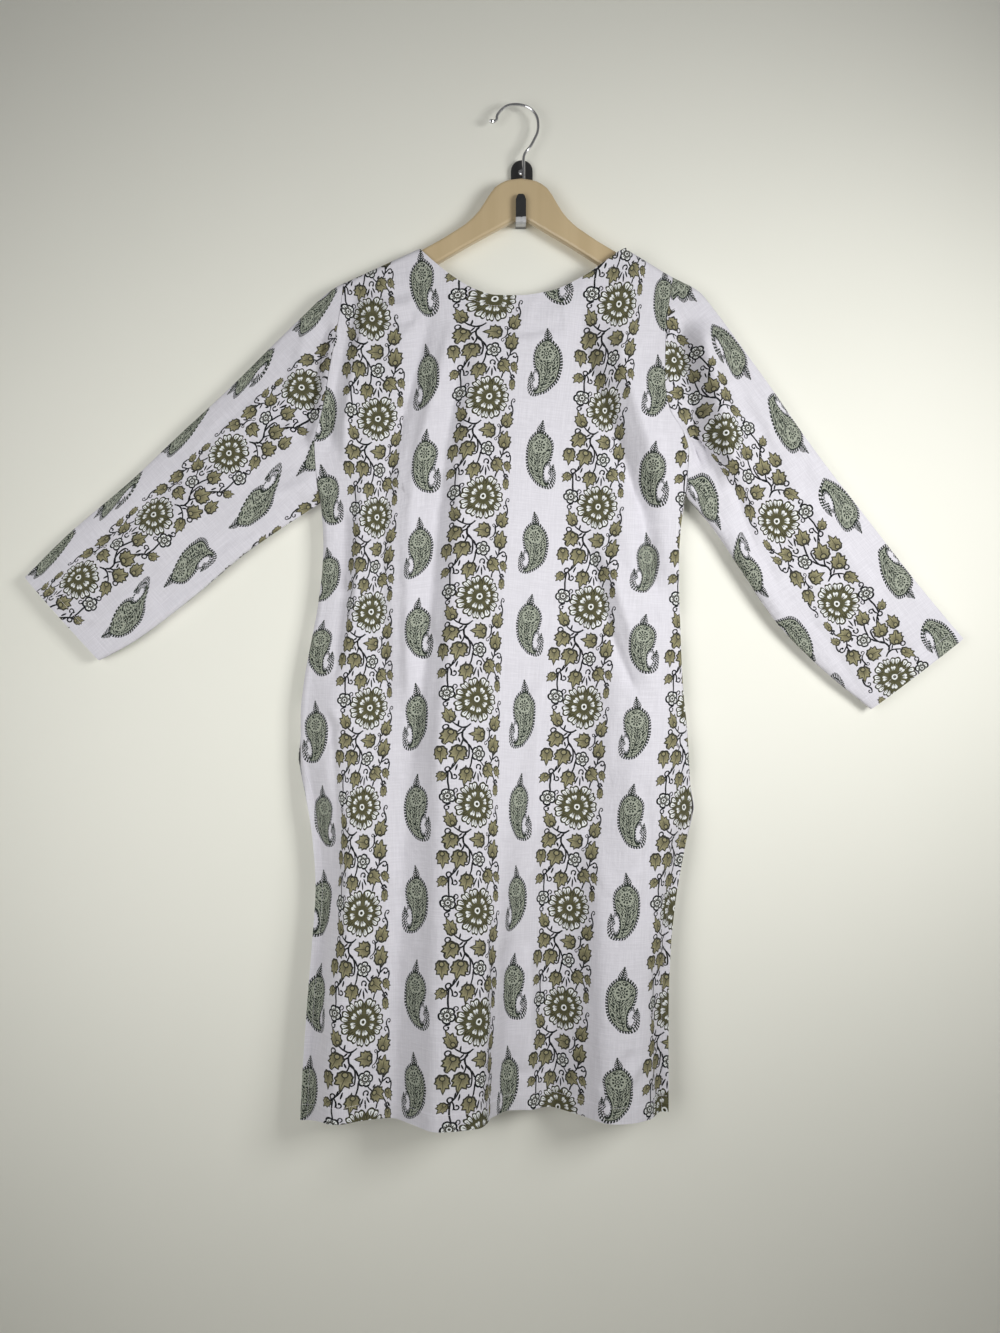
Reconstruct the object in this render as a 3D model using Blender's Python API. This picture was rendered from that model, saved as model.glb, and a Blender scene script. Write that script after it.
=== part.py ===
"""Long-sleeved cotton kurta tunic on a flat hanger that rests on a wall hook.

Frame: metres, +Z up.  The wall is the plane Y = 0 and the garment hangs on its
-Y side, so a "depth" below is a distance in front of the wall (Y = -depth).
The origin is the centre of the wall plate's back face.
All sizes are written in millimetres and turned into metres by MM.
"""
import math

import bmesh
import bpy
import numpy as np

MM = 0.001

for leftover in list(bpy.data.objects):
    bpy.data.objects.remove(leftover, do_unlink=True)

# ---------------------------------------------------------------- driving sizes
CLOTH_WALL = 1.2            # cloth, as a rigid wall
SEAM_GAP = 0.4              # space between two sewn pieces
HANGER_DEPTH = 14.0         # middle of the hanger, from the wall
HANGER_THICKNESS = 12.0
SHOULDER_TURN = 8.0         # the cloth rolls over the hanger with this radius
SIDE_TURN = 9.0             # and round the side seams with this one
UNDERARM_HEIGHT = -377.0
UNDERARM_EASE = 18.0        # the side seams close over this height above the underarm
TURN_PART = 0.03            # part of a panel's width given to each side turn
PANEL_LENGTH = 970.0        # about the length of a panel at the side, shoulder to hem
TURN_SLACK = 1.4            # arc of the shoulder turn, in its radii
SLIT_TOP = {"left": -677.0, "right": -736.0}
SLIT_BLEND = 55.0           # length over which a side seam opens into its slit
# Where the far panel shows beside a slit: it grows from the first height above the
# slit's top to the second and fades from the third to the fourth.
FLARE_BAND = (-150.0, -40.0, -20.0, 30.0)
NECK_ROLL = 2.5             # the neckline leaves the top of the hanger this quickly
NECK_EASE = 50.0            # and the far one drops below the near one over this
BACK_NECK_DROP = 5.0        # the far neckline lies this much lower
BACK_HEM_RISE = 3.0
BACK_FLARE = 4.0            # the far panel's edge shows this much beside the slits

# ---------------------------------------------------------------- cloth outline
# Edge of both body panels: armhole, side seam and slit, columns (height, x).
LEFT_EDGE = ((-118, -210), (-144, -213), (-219, -226), (-270, -235), (-308, -244),
             (-345, -242), (-377, -238), (-428, -235), (-453, -236), (-495, -241),
             (-540, -249), (-589, -258), (-628, -262), (-677, -262), (-727, -254),
             (-774, -247), (-830, -243), (-898, -247), (-952, -251), (-1049, -257),
             (-1100, -259))
RIGHT_EDGE = ((-110, 178), (-179, 169), (-234, 168), (-266, 173), (-296, 190),
              (-318, 196), (-351, 194), (-377, 192), (-408, 188), (-448, 186),
              (-540, 188), (-599, 191), (-650, 196), (-707, 199), (-736, 201),
              (-785, 191), (-846, 180), (-900, 174), (-965, 171), (-1089, 170))
# Neckline of the near panel between the two neck points, columns (x, height).
NECKLINE = ((-122.5, -77.4), (-104, -94), (-81, -112), (-54, -127), (-28, -134),
            (-2, -134.5), (38, -128.5), (69, -115), (97, -96), (116, -83), (124, -79.5))
LEFT_SHOULDER = (-210, -117.5)
RIGHT_SHOULDER = (178, -110.5)
# Hem of the near panel, columns (fraction across, height).
HEM = ((0.0, -1100), (0.06, -1091), (0.15, -1088.5), (1.0, -1088.5))

# ---------------------------------------------------------------- folds
# Heights down a body panel at which the folds below are given, as fractions.
LEVELS = (0.0, 0.15, 0.39, 0.63, 1.0)
# One row for each crest or hollow of the near panel.  Columns: its place across
# at the shoulders and at the hem, then its depth at neck, chest, waist, hip, hem.
FRONT_FOLDS = (
    (0.000, 0.000, 23, 25, 22, 22, 34),     # left edge
    (0.100, 0.090, 23, 28, 33, 46, 71),     # crest over the first print stripe
    (0.220, 0.190, 23, 26, 28, 38, 60),
    (0.460, 0.390, 24, 35, 46, 66, 92),     # the main fold, fullest at the hem
    (0.530, 0.480, 24, 34, 44, 64, 90),
    (0.620, 0.555, 24, 28, 32, 40, 42),     # its steep side
    (0.760, 0.670, 28, 20, 21, 24, 28),     # deep hollow
    (0.880, 0.885, 29, 24, 30, 46, 72),     # crest beside the right slit
    (0.950, 0.960, 26, 24, 28, 40, 60),
    (1.000, 1.000, 22, 24, 21, 24, 38),     # right edge
)
# The far panel hangs almost flat against the wall, same columns.
BACK_FOLDS = (
    (0.00, 0.00, 5, 5, 5, 5, 6),
    (0.22, 0.20, 4, 4, 5, 7, 11),
    (0.45, 0.42, 4, 4, 4, 4, 4),
    (0.68, 0.66, 4, 5, 6, 9, 13),
    (0.86, 0.86, 4, 4, 4, 4, 5),
    (1.00, 1.00, 5, 5, 5, 5, 7),
)
# Stations of the grids across a panel (fractions between the two side turns).
FRONT_ACROSS = (0.05, 0.10, 0.155, 0.26, 0.32, 0.38, 0.43, 0.47, 0.51, 0.55, 0.60,
                0.655, 0.71, 0.765, 0.815, 0.91, 0.955)
BACK_ACROSS = (0.10, 0.155, 0.30, 0.40, 0.50, 0.60, 0.70, 0.79, 0.93)
TURN_STEPS = (0.0, 1 / 3, 2 / 3)          # stations within a side or shoulder turn
# Stations down the armhole, from the shoulder turn to the underarm.
ARMHOLE_STEPS = (0.13, 0.25, 0.38, 0.50, 0.62, 0.72, 0.81, 0.89, 0.95, 1.0)
ROWS_BELOW_ARMHOLE = 16

# ---------------------------------------------------------------- sleeves
# Upper and lower outlines from armhole to cuff, columns (x, height).
SLEEVE_OUTLINES = {
    "left": {"upper": ((-210, -117.5), (-219, -122), (-271, -168), (-340, -236),
                       (-414, -304), (-463, -350), (-544, -419), (-590, -465)),
             "lower": ((-238, -377), (-324, -434), (-396, -493), (-470, -546.5),
                       (-502.5, -563))},
    "right": {"upper": ((178, -110.5), (210, -128), (222, -142), (273, -211),
                        (299, -247), (341, -307), (405, -390), (470, -473),
                        (524, -538)),
              "lower": ((192, -377), (223, -410), (265, -466), (306, -523),
                        (368, -583.5), (415.5, -621))},
}
# Sections along a sleeve, columns (fraction along, middle depth, half thickness).
SLEEVE_SECTIONS = ((0.0, 14.0, 10.0), (0.3, 14.0, 10.0), (0.6, 12.0, 8.0),
                   (1.0, 10.0, 6.5))
# Hollows pressed into a sleeve's near side.  Columns: fraction along and across
# (0 at the upper edge) where it starts, the same where it ends, drop, half width.
SLEEVE_HOLLOWS = {
    "left": ((0.06, 0.86, 0.24, 0.60, 4.0, 0.10),
             (0.30, 0.92, 0.50, 0.70, 3.0, 0.10)),
    "right": ((0.02, 0.30, 0.10, 0.86, 8.0, 0.16),
              (0.25, 0.80, 0.50, 0.62, 4.0, 0.12)),
}
SLEEVE_ALONG = (0.0, 0.03, 0.07, 0.12, 0.18, 0.25, 0.33, 0.42, 0.52, 0.62, 0.72, 0.82,
                0.91, 1.0)
FLATNESS = 0.6              # exponent of a sleeve's flattened round section
ARMHOLE_FADE = 0.45         # the armhole's curve is lost by this fraction along
SECTION_BLEND = 0.30        # and its depths turn into the sleeve's own by this one
SEAM_CLEAR = 14.0           # a sleeve starts clear of the side turn this far above it
HOLLOW_FADES = (-0.06, 0.02, -0.02, 0.10)   # about a hollow's start and its end

# ---------------------------------------------------------------- hanger and hooks
HANGER_TILT = math.radians(1.0)
CROTCH = (-1.7, -43.0)      # (x, height) where the hanger sits on the wall hook
# Right half of the hanger, from the crotch, columns (x, height).
HANGER_TOP = ((0, 49), (15, 47), (29, 40), (38.5, 28), (47, 13.5), (56, 2.5),
              (68, -8), (90, -22.5), (119, -39), (152, -56), (180, -71))
HANGER_BOTTOM = ((176, -97), (152, -86), (119, -66), (60, -30), (13, -3.2), (7, 0))
HANGER_END = ((188, -77), (191, -86), (187, -94))
HANGER_EDGE_ROUND = 3.0
RIM_ANGLE = math.radians(70)                # edges sharper than this are rounded
HOOK_POINTS = 56
HANGER_SHOULDER_X = 68.0                    # the top's outline is finer up to here
HOOK_WIRE = 3.5
BALL = {"points": 3, "growth": 1.45}        # the hook's end, in wire radii
HOOK_X = 2.0                # the hook's stem stands here
SOCKET_DEPTH = 24.0
SOCKET_CLEARANCE = 0.4
# Route of the hook above the hanger, columns (x, height).
HOOK_ROUTE = ((2.0, -10), (2.0, 8), (2.0, 24), (2.0, 32), (4.3, 38.5), (9.8, 45),
              (15.2, 54.8), (18.5, 62.5), (19.3, 71.3), (17.9, 80), (12.9, 87.6),
              (5.3, 92.8), (-5.7, 95.2), (-16.6, 94), (-24.3, 88.6), (-29.2, 82.6),
              (-30, 77.6), (-33.3, 75.2), (-38.5, 75.4))
PLATE = {"width": 26.0, "top": 34.0, "taper_from": -22.0, "bottom": -46.5,
         "foot_width": 12.4, "foot": 8.0, "thickness": 4.0}
PRONG = {"x": -1.4, "width": 12.0, "top": -15.6, "tip_width": 5.0, "thickness": 3.5,
         "depth": 27.0, "tip": 7.0, "shoulder": 2.0}
ARM = {"height": 6.5, "corner": 3.0, "nose": 5.0, "root": 1.0}  # "root" is in the plate
TOP_STEPS = 12              # sides of the plate's round top
SEAT_GAP = 0.45
SCREW = {"height": 19.0, "diameter": 8.0,
         # columns (part of the radius, height of the head there)
         "profile": ((0, 0), (1, 0), (1, 0.4), (0.8, 1.1), (0.45, 1.6), (0, 1.6))}


# ---------------------------------------------------------------- table reading
def smooth_table(rows, at):
    """Monotone cubic through rows of (place, value), read at an array of places."""
    rows = sorted(rows)
    place = np.array([row[0] for row in rows], float)
    value = np.array([row[1] for row in rows], float)
    at = np.clip(np.asarray(at, float), place[0], place[-1])
    step = np.diff(place)
    slope = np.diff(value) / step
    tangent = np.zeros_like(value)
    tangent[0] = slope[0]
    tangent[-1] = slope[-1]
    for i in range(1, len(value) - 1):
        if slope[i - 1] * slope[i] > 0:
            before = 2 * step[i] + step[i - 1]
            after = step[i] + 2 * step[i - 1]
            tangent[i] = (before + after) / (before / slope[i - 1] + after / slope[i])
    cell = np.clip(np.searchsorted(place, at) - 1, 0, len(step) - 1)
    t = (at - place[cell]) / step[cell]
    width = step[cell]
    return ((2 * t**3 - 3 * t**2 + 1) * value[cell]
            + (t**3 - 2 * t**2 + t) * width * tangent[cell]
            + (3 * t**2 - 2 * t**3) * value[cell + 1]
            + (t**3 - t**2) * width * tangent[cell + 1])


def rise(edge0, edge1, value):
    """Smooth step from 0 at edge0 to 1 at edge1."""
    t = np.clip((np.asarray(value, float) - edge0) / (edge1 - edge0), 0.0, 1.0)
    return t * t * (3 - 2 * t)


def along(points, fractions):
    """Points at given fractions of the length of a smooth path of (x, height)."""
    points = np.array(points, float)
    reach = np.concatenate([[0.0], np.cumsum(np.hypot(*np.diff(points, axis=0).T))])
    reach /= reach[-1]
    x = smooth_table(list(zip(reach, points[:, 0])), fractions)
    z = smooth_table(list(zip(reach, points[:, 1])), fractions)
    return np.stack([x, z], axis=-1)


def hip_band(height, side):
    """1 just below a slit's top, where the far panel shows past the near one."""
    grow_from, grow_to, fade_from, fade_to = (SLIT_TOP[side] + step for step in FLARE_BAND)
    return rise(grow_from, grow_to, height) * (1 - rise(fade_from, fade_to, height))


# ---------------------------------------------------------------- body panels
class Panel:
    """One body panel as a surface over (across, down), both from 0 to 1."""

    def __init__(self, folds, seam_depth, neck_drop, hem_rise, flare):
        self.folds = folds
        self.seam_depth = seam_depth
        self.neck_drop = neck_drop
        self.hem_rise = hem_rise
        self.flare = flare
        self.turn_down = SHOULDER_TURN * TURN_SLACK / PANEL_LENGTH
        self.turn_across = TURN_PART

    def top(self, x):
        """Height of the shoulder and neck edge at x."""
        neck_left, neck_right = NECKLINE[0], NECKLINE[-1]
        left = np.interp(x, [LEFT_SHOULDER[0], neck_left[0]],
                         [LEFT_SHOULDER[1], neck_left[1]])
        right = np.interp(x, [neck_right[0], RIGHT_SHOULDER[0]],
                          [neck_right[1], RIGHT_SHOULDER[1]])
        open_part = (rise(neck_left[0], neck_left[0] + NECK_EASE, x)
                     * (1 - rise(neck_right[0] - NECK_EASE, neck_right[0], x)))
        middle = smooth_table(NECKLINE, x) - self.neck_drop * open_part
        return np.where(x < neck_left[0], left, np.where(x > neck_right[0], right, middle))

    def shoulder(self, x):
        """1 where the edge is sewn over the hanger, 0 along the open neckline."""
        left, right = NECKLINE[0][0], NECKLINE[-1][0]
        return 1 - rise(left, left + NECK_ROLL, x) + rise(right - NECK_ROLL, right, x)

    def side_turn(self, height, side):
        """1 where a side seam closes the body, 0 at the armhole and the slit."""
        closed = 1 - rise(UNDERARM_HEIGHT, UNDERARM_HEIGHT + UNDERARM_EASE, height)
        slit = SLIT_TOP[side]
        return closed * rise(slit - SLIT_BLEND, slit, height)

    def fold_depth(self, fraction, down):
        """Depth of the folded cloth before its edges turn in to the seams."""
        shape = np.broadcast(fraction, down).shape
        fraction = np.broadcast_to(fraction, shape)
        down = np.broadcast_to(down, shape)
        depth = np.empty(shape)
        for key in np.unique(down):
            here = down == key
            places = [row[0] + (row[1] - row[0]) * key for row in self.folds]
            depths = [float(smooth_table(list(zip(LEVELS, row[2:])), key))
                      for row in self.folds]
            depth[here] = smooth_table(list(zip(places, depths)), fraction[here])
        return depth

    def point(self, across, down):
        """Points of the middle of the wall, in millimetres."""
        across, down = np.broadcast_arrays(np.asarray(across, float),
                                           np.asarray(down, float))
        side_angle = 0.5 * np.pi * np.clip(
            np.minimum(across, 1 - across) / self.turn_across, 0, 1)
        top_angle = 0.5 * np.pi * np.clip(down / self.turn_down, 0, 1)
        inset = SIDE_TURN * (1 - np.cos(side_angle))
        fraction = np.clip((across - self.turn_across) / (1 - 2 * self.turn_across), 0, 1)
        below = np.clip((down - self.turn_down) / (1 - self.turn_down), 0, 1)

        left_top, right_top = LEFT_SHOULDER[0], RIGHT_SHOULDER[0]
        hem = smooth_table(HEM, fraction) + self.hem_rise

        def across_x(left, right):
            plain = left + SIDE_TURN + fraction * (right - left - 2 * SIDE_TURN)
            left_part = np.where(across < self.turn_across, left + inset, plain)
            return np.where(across > 1 - self.turn_across, right - inset, left_part)

        x_top = across_x(left_top, right_top)
        sewn = self.shoulder(x_top)
        top = self.top(x_top)
        roll = sewn * (1 - np.cos(top_angle)) + (1 - sewn) * top_angle / (0.5 * np.pi)
        height = (top - SHOULDER_TURN * roll) * (1 - below) + hem * below
        left = smooth_table(LEFT_EDGE, height) - self.flare * hip_band(height, "left")
        right = smooth_table(RIGHT_EDGE, height) + self.flare * hip_band(height, "right")
        x = across_x(left, right)

        depth = self.fold_depth(fraction, below)
        edge_depth = depth * (1 - sewn) + self.seam_depth * sewn
        depth = edge_depth + (depth - edge_depth) * np.sin(top_angle)
        turn = np.where(across < 0.5, self.side_turn(height, "left"),
                        self.side_turn(height, "right"))
        depth = depth + (self.seam_depth - depth) * turn * (1 - np.sin(side_angle))
        return np.stack([x, -depth, height], axis=-1)

    def normal(self, across, down):
        """Unit normals, pointing away from the inside of the garment."""
        small = 1e-4
        a0 = np.clip(across - small, 0, 1)
        a1 = np.clip(across + small, 0, 1)
        d0 = np.clip(down - small, 0, 1)
        d1 = np.clip(down + small, 0, 1)
        normal = np.cross(self.point(across, d1) - self.point(across, d0),
                          self.point(a1, down) - self.point(a0, down))
        normal /= np.linalg.norm(normal, axis=-1, keepdims=True)
        return normal

    def underarm(self):
        """How far down the panel the underarm point lies."""
        steps = np.linspace(0.1, 0.5, 2001)
        heights = self.point(np.zeros_like(steps), steps)[:, 2]
        return float(np.interp(-UNDERARM_HEIGHT, -heights, steps))


def neck_columns(panel):
    """Stations across on the two neck points and where the open neckline starts."""
    steps = np.linspace(0.05, 0.95, 4001)
    x = panel.point(steps, np.zeros_like(steps))[:, 0]
    left, right = NECKLINE[0][0], NECKLINE[-1][0]
    places = (left, left + NECK_ROLL, right - NECK_ROLL, right)
    return [float(np.interp(place, x, steps)) for place in places]


def panel_stations(panel, across):
    """Sorted stations across and down for a panel's grid."""
    turn = [panel.turn_across * step for step in TURN_STEPS]
    columns = turn + [1 - place for place in turn] + list(across) + neck_columns(panel)
    columns += [panel.turn_across, 1 - panel.turn_across]
    underarm = panel.underarm()
    rows = [panel.turn_down * step for step in TURN_STEPS] + [panel.turn_down]
    rows += [underarm * step for step in ARMHOLE_STEPS]
    rows += [underarm + (1 - underarm) * (i + 1) / ROWS_BELOW_ARMHOLE
             for i in range(ROWS_BELOW_ARMHOLE)]
    return np.array(sorted(columns)), np.array(rows)


# ---------------------------------------------------------------- solid builders
def new_object(name, mesh, material):
    mesh.materials.append(material)
    obj = bpy.data.objects.new(name, mesh)
    bpy.context.collection.objects.link(obj)
    return obj


def wall_solid(name, middle, normal, closed, material):
    """A closed wall of cloth round a grid of middle points, rows by columns."""
    rows, columns = middle.shape[:2]
    mesh = bmesh.new()
    half = 0.5 * CLOTH_WALL
    sides = []
    for way in (1.0, -1.0):
        grid = (middle + way * half * normal) * MM
        sides.append([[mesh.verts.new(grid[i, j]) for j in range(columns)]
                      for i in range(rows)])
    outer, inner = sides
    spans = columns if closed else columns - 1
    for i in range(rows - 1):
        for j in range(spans):
            k = (j + 1) % columns
            mesh.faces.new((outer[i][j], outer[i + 1][j], outer[i + 1][k], outer[i][k]))
            mesh.faces.new((inner[i][j], inner[i][k], inner[i + 1][k], inner[i + 1][j]))
    for j in range(spans):
        k = (j + 1) % columns
        mesh.faces.new((outer[0][j], outer[0][k], inner[0][k], inner[0][j]))
        mesh.faces.new((outer[-1][j], inner[-1][j], inner[-1][k], outer[-1][k]))
    if not closed:
        for i in range(rows - 1):
            mesh.faces.new((outer[i][0], inner[i][0], inner[i + 1][0], outer[i + 1][0]))
            mesh.faces.new((outer[i][-1], outer[i + 1][-1], inner[i + 1][-1],
                            inner[i][-1]))
    bmesh.ops.recalc_face_normals(mesh, faces=mesh.faces)
    data = bpy.data.meshes.new(name)
    mesh.to_mesh(data)
    mesh.free()
    data.shade_smooth()
    return new_object(name, data, material)


def plain_material(name, colour, roughness, metallic=0.0):
    material = bpy.data.materials.new(name)
    material.use_nodes = True
    shader = material.node_tree.nodes["Principled BSDF"]
    shader.inputs["Base Color"].default_value = (*colour, 1.0)
    shader.inputs["Roughness"].default_value = roughness
    shader.inputs["Metallic"].default_value = metallic
    return material


# ---------------------------------------------------------------- sleeves
def sleeve_grid(side, front, back):
    """Middle points and normals of one sleeve tube, sections by points round."""
    edge = 0.0 if side == "left" else 1.0
    outward = -1.0 if side == "left" else 1.0
    underarm = front.underarm()
    turn = front.turn_down / underarm
    round_steps = [turn * step for step in TURN_STEPS] + [turn] + list(ARMHOLE_STEPS)
    near = np.array(round_steps)
    far = near[::-1][1:-1]                      # both seam points belong to the near side
    place = np.concatenate([near, far])
    is_near = np.concatenate([np.ones_like(near), np.zeros_like(far)])

    def armhole(step, near_side):
        near_point = front.point(np.full_like(step, edge), step * underarm)
        far_point = back.point(np.full_like(step, edge), step * back.underarm())
        return np.where(near_side[:, None] > 0.5, near_point, far_point)

    start = armhole(place, is_near)
    turned = front.side_turn(start[:, 2] - SEAM_CLEAR, side)
    start[:, 0] += outward * (SEAM_GAP + 0.5 * CLOTH_WALL * turned)
    seam = np.logical_or(place == near[0], place == near[-1])
    start[seam, 1] = -HANGER_DEPTH
    upper = SLEEVE_OUTLINES[side]["upper"]
    lower = SLEEVE_OUTLINES[side]["lower"]
    round_angle = np.arccos(1 - 2 * place)

    def section(fraction):
        top = along(upper, fraction)
        bottom = along(lower, fraction)
        top0, bottom0 = np.array(upper[0]), np.array(lower[0])
        straight0 = top0 + (bottom0 - top0) * place[:, None]
        straight = top + (bottom - top) * place[:, None]
        bow = (start[:, [0, 2]] - straight0) * (1 - rise(0.0, ARMHOLE_FADE, fraction))
        plan = straight + bow
        table = [(row[0], row[1]) for row in SLEEVE_SECTIONS]
        middle = smooth_table(table, fraction)
        table = [(row[0], row[2]) for row in SLEEVE_SECTIONS]
        half = smooth_table(table, fraction)
        way = np.where(is_near > 0.5, 1.0, -1.0)
        depth = middle + way * half * np.sin(round_angle) ** FLATNESS
        for from_t, from_a, to_t, to_a, drop, width in SLEEVE_HOLLOWS[side]:
            t = np.clip((fraction - from_t) / (to_t - from_t), 0, 1)
            centre = from_a + (to_a - from_a) * t
            fades = HOLLOW_FADES
            strength = rise(from_t + fades[0], from_t + fades[1], fraction)
            strength *= 1 - rise(to_t + fades[2], to_t + fades[3], fraction)
            dip = np.exp(-((place - centre) / width) ** 2) * strength
            depth = depth - np.where(is_near > 0.5, drop, 0.0) * dip * np.sin(round_angle)
        blend = rise(0.0, SECTION_BLEND, fraction)
        depth = -start[:, 1] * (1 - blend) + depth * blend
        return np.stack([plan[:, 0], -depth, plan[:, 1]], axis=-1)

    middle = np.array([section(fraction) for fraction in SLEEVE_ALONG])
    small = 1e-3
    normal = np.empty_like(middle)
    for i, fraction in enumerate(SLEEVE_ALONG):
        ahead = section(min(1.0, fraction + small)) - section(max(0.0, fraction - small))
        around = np.roll(middle[i], -1, axis=0) - np.roll(middle[i], 1, axis=0)
        cross = np.cross(around, ahead) * outward
        normal[i] = cross / np.linalg.norm(cross, axis=-1, keepdims=True)
    if side == "left":
        normal = -normal
    return middle, normal


# ---------------------------------------------------------------- hanger and hooks
def hanger_outline():
    """The hanger's whole outline, from the crotch, going round once."""
    top = [(x, float(smooth_table(HANGER_TOP, x)))
           for x in np.concatenate([np.linspace(0, HANGER_SHOULDER_X, 12),
                                    np.linspace(HANGER_SHOULDER_X, HANGER_TOP[-1][0], 6)[1:]])]
    right = top + list(HANGER_END) + list(HANGER_BOTTOM)
    left = [(-x, z) for x, z in reversed(right[1:])]
    return right + left


def hanger_body(material):
    outline = hanger_outline()
    mesh = bmesh.new()
    near = [mesh.verts.new((x * MM, -0.5 * HANGER_THICKNESS * MM, z * MM))
            for x, z in outline]
    face = mesh.faces.new(near)
    far = bmesh.ops.extrude_face_region(mesh, geom=[face])
    moved = [item for item in far["geom"] if isinstance(item, bmesh.types.BMVert)]
    bmesh.ops.translate(mesh, verts=moved, vec=(0, HANGER_THICKNESS * MM, 0))
    bmesh.ops.recalc_face_normals(mesh, faces=mesh.faces)
    data = bpy.data.meshes.new("hanger_body")
    mesh.to_mesh(data)
    mesh.free()
    obj = new_object("hanger_body", data, material)
    obj.location = (CROTCH[0] * MM, -HANGER_DEPTH * MM, CROTCH[1] * MM)
    obj.rotation_euler = (0, HANGER_TILT, 0)
    bevel = obj.modifiers.new("rounded rims", "BEVEL")
    bevel.width = HANGER_EDGE_ROUND * MM
    bevel.segments = 2
    bevel.limit_method = "ANGLE"
    bevel.angle_limit = RIM_ANGLE
    bpy.ops.mesh.primitive_cylinder_add(
        vertices=20, radius=(0.5 * HOOK_WIRE + SOCKET_CLEARANCE) * MM,
        depth=2 * SOCKET_DEPTH * MM,
        location=(HOOK_X * MM, -HANGER_DEPTH * MM, (CROTCH[1] + HANGER_TOP[0][1]) * MM))
    cutter = bpy.context.object
    cutter.name = "socket_cutter"
    cutter.hide_render = True
    cutter.display_type = "WIRE"
    socket = obj.modifiers.new("hook socket", "BOOLEAN")
    socket.operation = "DIFFERENCE"
    socket.object = cutter
    return obj


def hanger_hook(material):
    """Bent wire with a small ball end; its stem stands in the hanger's socket."""
    route = smooth_route(HOOK_ROUTE, HOOK_POINTS)
    curve = bpy.data.curves.new("hanger_hook", "CURVE")
    curve.dimensions = "3D"
    spline = curve.splines.new("POLY")
    spline.points.add(len(route) - 1)
    for i, (x, z) in enumerate(route):
        spline.points[i].co = (x * MM, -HANGER_DEPTH * MM, z * MM, 1.0)
        to_tip = len(route) - 1 - i
        is_ball = 0 < to_tip < BALL["points"]
        spline.points[i].radius = BALL["growth"] if is_ball else 1.0
    curve.bevel_depth = 0.5 * HOOK_WIRE * MM
    curve.bevel_resolution = 2
    curve.use_fill_caps = True
    curve.materials.append(material)
    obj = bpy.data.objects.new("hanger_hook", curve)
    bpy.context.collection.objects.link(obj)
    return obj


def smooth_route(points, count):
    """Catmull-Rom points along an open route of (x, height), evenly in parameter."""
    points = [np.array(p, float) for p in points]
    padded = [2 * points[0] - points[1]] + points + [2 * points[-1] - points[-2]]
    result = []
    for step in np.linspace(0, len(points) - 1, count):
        i = min(int(step), len(points) - 2)
        t = step - i
        a, b, c, d = padded[i:i + 4]
        result.append(tuple(0.5 * (2 * b + (c - a) * t + (2 * a - 5 * b + 4 * c - d) * t**2
                                   + (3 * b - a - 3 * c + d) * t**3)))
    return result


def extruded(name, outline, depth_from, depth_to, material):
    """Prism from an outline of (x, height) between two depths."""
    mesh = bmesh.new()
    ring = [mesh.verts.new((x * MM, -depth_from * MM, z * MM)) for x, z in outline]
    face = mesh.faces.new(ring)
    grown = bmesh.ops.extrude_face_region(mesh, geom=[face])
    moved = [item for item in grown["geom"] if isinstance(item, bmesh.types.BMVert)]
    bmesh.ops.translate(mesh, verts=moved, vec=(0, (depth_from - depth_to) * MM, 0))
    bmesh.ops.recalc_face_normals(mesh, faces=mesh.faces)
    data = bpy.data.meshes.new(name)
    mesh.to_mesh(data)
    mesh.free()
    return new_object(name, data, material)


def wall_hook(material):
    """Plate, arm and upturned, tapering prong of the wall hook, as one solid."""
    half, foot = 0.5 * PLATE["width"], 0.5 * PLATE["foot_width"]
    outline = []
    for i in range(TOP_STEPS + 1):
        angle = math.pi * i / TOP_STEPS
        outline.append((half * math.cos(angle), PLATE["top"] + half * (math.sin(angle) - 1)))
    foot_left, foot_right = PRONG["x"] - foot, PRONG["x"] + foot
    foot_top = PLATE["bottom"] + PLATE["foot"]
    outline += [(-half, PLATE["taper_from"]), (foot_left, foot_top),
                (foot_left, PLATE["bottom"]), (foot_right, PLATE["bottom"]),
                (foot_right, foot_top), (half, PLATE["taper_from"])]
    plate = extruded("wall_hook", outline, 0.0, PLATE["thickness"], material)

    seat = CROTCH[1] - SEAT_GAP
    under = seat - ARM["height"]
    corner = under + ARM["corner"]
    front, rear = PRONG["depth"], PRONG["depth"] - PRONG["thickness"]
    root = PLATE["thickness"] - ARM["root"]
    top, tip, shoulder = PRONG["top"], PRONG["top"] - PRONG["tip"], PRONG["top"] - PRONG["shoulder"]
    wide, narrow = 0.5 * PRONG["width"], 0.5 * PRONG["tip_width"]
    between = 0.5 * (wide + narrow)
    # Side view of arm and prong, columns (depth, height, half width there).
    side = ((root, corner, wide), (front - ARM["nose"], under, wide),
            (front - 1, under + 1, wide), (front, corner, wide), (front, tip, wide),
            (front - 0.6, shoulder, between), (front - 1.5, top, narrow),
            (rear, top - 0.5, narrow), (rear, shoulder - 0.5, between), (rear, tip, wide),
            (rear, seat, wide), (root, seat, wide))
    mesh = bmesh.new()
    ends = [[mesh.verts.new(((PRONG["x"] + way * width) * MM, -depth * MM, z * MM))
             for depth, z, width in side] for way in (-1, 1)]
    mesh.faces.new(ends[0])
    mesh.faces.new(list(reversed(ends[1])))
    for i in range(len(side)):
        k = (i + 1) % len(side)
        mesh.faces.new((ends[0][i], ends[1][i], ends[1][k], ends[0][k]))
    bmesh.ops.recalc_face_normals(mesh, faces=mesh.faces)
    data = bpy.data.meshes.new("hook_arm")
    mesh.to_mesh(data)
    mesh.free()
    arm = new_object("hook_arm", data, material)
    arm.hide_render = True
    arm.display_type = "WIRE"
    union = plate.modifiers.new("arm", "BOOLEAN")
    union.operation = "UNION"
    union.object = arm
    return plate


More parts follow.
